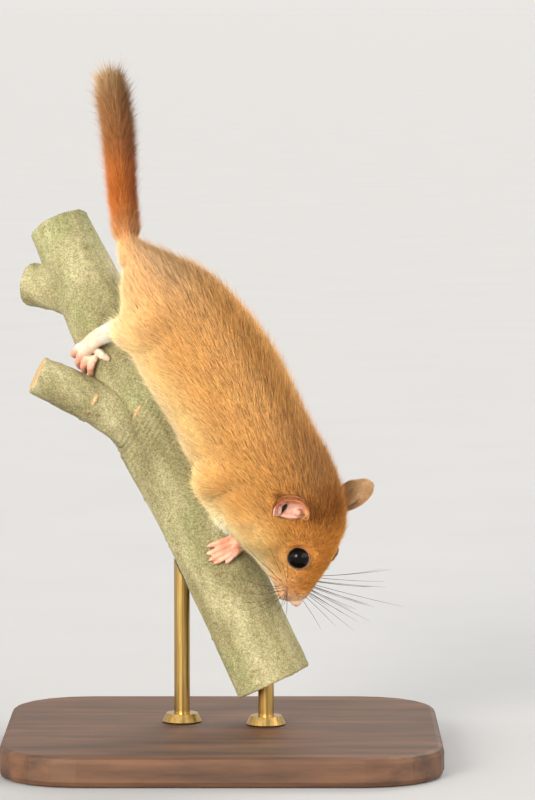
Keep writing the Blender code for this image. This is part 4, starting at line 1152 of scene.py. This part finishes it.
def make_perch():
    """The hazel branch with its side stub and twig, sawn square at the ends."""
    lines = ((BRANCH_LINE, 90), (STUB_LINE, 30), (TWIG_LINE, 20))
    runs = [smooth_run(placed(rows), count) for rows, count in lines]
    stub = runs[1][:, :3]
    collar, out = stub[8], unit(stub[6] - stub[0])
    bulge = [(*(collar + out * ahead), radius) for ahead, radius in ((-3.4, 6.0), (-0.6, 5.5), (1.8, 4.6))]
    shapes = [tube(run, 60, False, False) for run in runs] + [tube(bulge, 40)]
    piece = melted("hazel_perch", shapes, 0.34, 3)
    mesh = piece.data
    places, normals = places_of(mesh), normals_of(mesh)
    cut, ring = sawn_ends(places, normals, runs)
    line = unit(BRANCH[120, :3] - BRANCH[20, :3])
    stub_way = unit(stub[20] - stub[8])
    drawn_out = places - 0.62 * (places @ line)[:, None] * line
    pore = pore_marks(places, line)
    scar_rise, scar = leaf_scars(places, stub_way)
    rise = 0.26 * lobes(places, 9.0, 41) + 0.13 * lobes(drawn_out, 2.4, 42)
    rise += 0.08 * lobes(drawn_out, 1.0, 43) + 0.05 * lobes(places, 0.5, 44)
    rise += 0.22 * pore + scar_rise + wrinkles(places, collar, stub_way)
    year_rings = ring * 5.2
    rise = np.where(cut > 0, 0.04 * np.sin(year_rings) + 0.03 * lobes(places, 0.5, 46), rise)
    set_places(mesh, places + normals * rise[:, None])
    tone = 0.5 * lobes(drawn_out, 3.2, 51) + 0.3 * lobes(drawn_out, 1.2, 52)
    tone += 0.35 * lobes(places, 12.0, 53)
    bark = ramp(tone, *BARK_RAMP)
    green = ramp(lobes(places, 1.4, 54), (-1, "#7a8454"), (1, "#a0a874"))
    bark = mixed(bark, green, 0.4 * step(lobes(places, 15.0, 55) + 0.4 * lobes(places, 3.0, 56), -0.1, 0.7))
    bark = mixed(bark, linear("#8a6f4a"), 0.7 * pore)
    bark = mixed(bark, linear("#d8b285"), 0.85 * scar)
    wood = ramp(np.sin(year_rings + 0.6 * lobes(places, 3.0, 57)), *WOOD_RAMP)
    paint(mesh, "coat", mixed(bark, wood, cut))
    settle(piece, "bark", "bark", "perch_branch", "perch_stub", "perch_twig")


def dress_stand():
    rod = ("brass", "rod_brass")
    for name, (material, slot) in {
        "stand_base": ("walnut", "stand_wood"),
        "stand_rod_low": rod,
        "stand_rod_high": rod,
    }.items():
        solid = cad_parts[name]
        solid.data.materials.clear()
        solid.data.materials.append(MATERIALS[material])


# Finishes


def node(tree, kind, inputs=None, **settings):
    """Adds a shader node with its settings, and links or sets its inputs."""
    made = tree.nodes.new("ShaderNode" + kind)
    for key, value in settings.items():
        setattr(made, key, value)
    for key, value in (inputs or {}).items():
        if isinstance(value, bpy.types.NodeSocket):
            tree.links.new(value, made.inputs[key])
        else:
            made.inputs[key].default_value = value
    return made


def shade(hex_colour):
    return (*linear(hex_colour), 1.0)


def finish(name, **sockets):
    """A new material and its tree, with constants set on the shader's own sockets."""
    made = bpy.data.materials.new(name)
    made.use_nodes = True
    shader = made.node_tree.nodes["Principled BSDF"]
    for key, value in sockets.items():
        shader.inputs[key.replace("_", " ")].default_value = value
    return made, made.node_tree


def pattern(tree, size_mm, detail=4.0, roughness=0.55, stretch=(1, 1, 1)):
    """Soft lobes of a real size in millimetres, fixed to the object's own coordinates."""
    place = node(tree, "TexCoord").outputs["Object"]
    scaled = node(tree, "Mapping", {"Vector": place, "Scale": stretch}).outputs["Vector"]
    inputs = {"Vector": scaled, "Scale": 1000 / size_mm, "Detail": detail, "Roughness": roughness}
    return node(tree, "TexNoise", inputs).outputs["Fac"]


def painted(tree, *patterns):
    """The colour painted on the points, made darker or lighter by each pattern between two factors."""
    colour = node(tree, "Attribute", attribute_name="coat").outputs["Color"]
    for lobed, low, high in patterns:
        span = {"Value": lobed, "From Min": 0.25, "From Max": 0.75, "To Min": low, "To Max": high}
        scale = node(tree, "MapRange", span).outputs["Result"]
        colour = node(tree, "VectorMath", {0: colour, "Scale": scale}, operation="SCALE").outputs["Vector"]
    return colour


def surfaced(made, colour, *reliefs):
    """The material with its colour and reliefs in its shader. A relief is a pattern, strength and depth."""
    tree = made.node_tree
    shader = tree.nodes["Principled BSDF"]
    tree.links.new(colour, shader.inputs["Base Color"])
    inputs = {}
    for lobed, strength, depth_mm in reliefs:
        inputs |= {"Height": lobed, "Strength": strength, "Distance": depth_mm * 0.001}
        inputs["Normal"] = node(tree, "Bump", inputs).outputs["Normal"]
    if inputs:
        tree.links.new(inputs["Normal"], shader.inputs["Normal"])
    return made


def coat_fur():
    """Dormouse fur: fine dry hair with a soft silky light along it, mottled at the width of a lock."""
    gleam = {"Specular_IOR_Level": 0.2, "Sheen_Weight": 0.04, "Sheen_Roughness": 0.5}
    made, tree = finish("dormouse_fur", Roughness=0.65, **gleam)
    return surfaced(made, painted(tree, (pattern(tree, 0.9), 0.86, 1.12)))


def skin_hide():
    """The hide under the fur, matt and dark between the hairs."""
    made, tree = finish("dormouse_hide", Roughness=0.85, Specular_IOR_Level=0.2)
    colour = painted(tree, (pattern(tree, 0.5), 0.8, 1.1))
    return surfaced(made, colour, (pattern(tree, 0.35, 2.0), 0.6, 0.1))


def bare_skin(name, roughness):
    """Bare skin that lets a little light in, so it looks soft. Its creases are drawn coarser to show."""
    soft = {"Subsurface_Weight": 0.25, "Subsurface_Scale": 0.0008, "Subsurface_Radius": (1.0, 0.35, 0.2)}
    made, tree = finish(name, Roughness=roughness, Specular_IOR_Level=0.4, **soft)
    colour = painted(tree, (pattern(tree, 0.45), 0.88, 1.1))
    return surfaced(made, colour, (pattern(tree, 0.22, 3.0), 0.35, 0.08))


def eye_gloss():
    """A wet black eye: deep brown-black, and smooth enough to mirror the lamps as small sharp lights."""
    made, tree = finish("wet_black_eye", Roughness=0.05, IOR=1.38, Specular_IOR_Level=0.22)
    tones = node(tree, "ValToRGB", {"Fac": pattern(tree, 1.5)})
    tones.color_ramp.elements[0].color = shade("#050404")
    tones.color_ramp.elements[1].color = shade("#0e0907")
    return surfaced(made, tones.outputs["Color"])


def ramped(name, low, high, size_mm, depth_mm, stretch=(1, 1, 1), **sockets):
    """A finish whose colour and relief follow one pattern of a real size."""
    made, tree = finish(name, **sockets)
    lobed = pattern(tree, size_mm, 5.0, 0.6, stretch)
    tones = node(tree, "ValToRGB", {"Fac": lobed})
    for stop, place, tone in zip(tones.color_ramp.elements, (0.32, 0.7), (low, high)):
        stop.position = place
        stop.color = shade(tone)
    return surfaced(made, tones.outputs["Color"], (lobed, 0.5, depth_mm))


def hazel_bark():
    """Hazel bark: dry, thin and fine grained, with specks a few tenths of a millimetre across."""
    made, tree = finish("hazel_bark", Roughness=0.82, Specular_IOR_Level=0.25)
    grain = pattern(tree, 0.7, 6.0, 0.75)
    specks = pattern(tree, 0.34, 2.0, 0.6)
    colour = painted(tree, (grain, 0.62, 1.22), (specks, 0.5, 1.45))
    return surfaced(made, colour, (grain, 0.8, 0.16), (specks, 0.5, 0.07))


MATERIALS = {
    "fur": coat_fur(),
    "skin": skin_hide(),
    "foot": bare_skin("foot_skin", 0.5),
    "ear": bare_skin("ear_skin", 0.55),
    "eye": eye_gloss(),
    # A dull dark brown rim, a little lighter in spots, sets the eye off from the fur.
    "lid": ramped("eyelid_rim", "#5a3626", "#a07058", 0.5, 0.05, Roughness=0.7),
    # Smooth pale horn catches a fine light along each claw.
    "claw": ramped("claw_horn", "#c79a80", "#e8cdb8", 0.8, 0.02, Roughness=0.35),
    # Stiff dark bristle with a gleam along it, paler in stretches.
    "whisker": ramped("whisker_bristle", "#1c130d", "#4a3424", 3.0, 0.01, Roughness=0.35),
    "bark": hazel_bark(),
    # Oiled wood with long brown grain and only a dull light on it.
    "walnut": ramped("oiled_walnut", "#3b2519", "#6d4a31", 4.0, 0.05, (0.12, 1, 1), Roughness=0.6),
    # Brass brushed along the rod draws its light out lengthwise. The brush lines are drawn coarser to show.
    "brass": ramped(
        "brushed_brass", "#a08148", "#c3a566", 0.6, 0.01, (1, 1, 0.05), Roughness=0.3, Metallic=1.0
    ),
}


# Stage, lights and camera


def lamp(name, place, strength, colour, softness):
    """A far lamp that shines from that side, with its width in degrees for soft shadows."""
    data = bpy.data.lights.new(name, "SUN")
    data.energy = strength
    data.color = linear(colour)
    data.angle = math.radians(softness)
    thing = bpy.data.objects.new(name, data)
    thing.location = place
    thing.rotation_euler = (-Vector(place)).to_track_quat("-Z", "Y").to_euler()
    bpy.context.scene.collection.objects.link(thing)


def make_stage():
    """A wide pale floor that meets an even pale room, with four soft far lamps."""
    far, drop = 150000.0, -0.02
    corners = [(-far, -far, drop), (far, -far, drop), (far, far, drop), (-far, far, drop)]
    floor = new_piece("floor", new_mesh("floor", corners, [[0, 1, 2, 3]], False))
    # Plain matt paper, nearly even in tone, so that the eye stays on the model.
    floor.data.materials.append(ramped("pale_paper_floor", "#b3b6ba", "#b6b9bd", 60.0, 0.01, Roughness=0.95))
    world = bpy.data.worlds.new("pale_room")
    world.use_nodes = True
    world.node_tree.nodes["Background"].inputs["Color"].default_value = shade("#f5f2ee")
    world.node_tree.nodes["Background"].inputs["Strength"].default_value = 0.9
    bpy.context.scene.world = world
    lamp("key", (-0.45, -0.85, 0.28), 3.6, "#fff4e4", 26)
    lamp("fill", (0.9, -0.55, 0.04), 3.3, "#fff6ec", 70)
    lamp("side", (-0.9, -0.4, 0.0), 1.2, "#fff4e4", 70)
    lamp("rim", (0.3, 0.55, 0.6), 1.2, "#fff6ea", 30)
    bpy.context.scene.view_settings.view_transform = "Standard"


def make_camera():
    """A camera that sees the model as the photograph does."""
    data = bpy.data.cameras.new("front")
    data.sensor_width = SENSOR
    data.lens = SENSOR / VIEW_HEIGHT * VIEW_DISTANCE
    data.clip_end = 1000.0
    camera = bpy.data.objects.new("front", data)
    cos, sin = math.cos(VIEW_DOWN), math.sin(VIEW_DOWN)
    x, z = VIEW_CENTRE
    deep = -VIEW_DISTANCE * cos + z * sin - FORWARD_OF_CENTRE
    high = z * cos + VIEW_DISTANCE * sin + BASE_HEIGHT
    camera.location = (x * 0.001, deep * 0.001, high * 0.001)
    camera.rotation_euler = (math.pi / 2 - VIEW_DOWN, 0, 0)
    bpy.context.scene.collection.objects.link(camera)
    bpy.context.scene.camera = camera


make_stage()
make_camera()
grow_coat(body_skin())
make_eye(RIGHT, "eye_right")
make_eye(LEFT, "eye_left")
make_ear(RIGHT, "ear_right")
make_ear(LEFT, "ear_left")
make_whiskers()
for foot in FEET:
    make_foot(foot)
make_perch()
dress_stand()
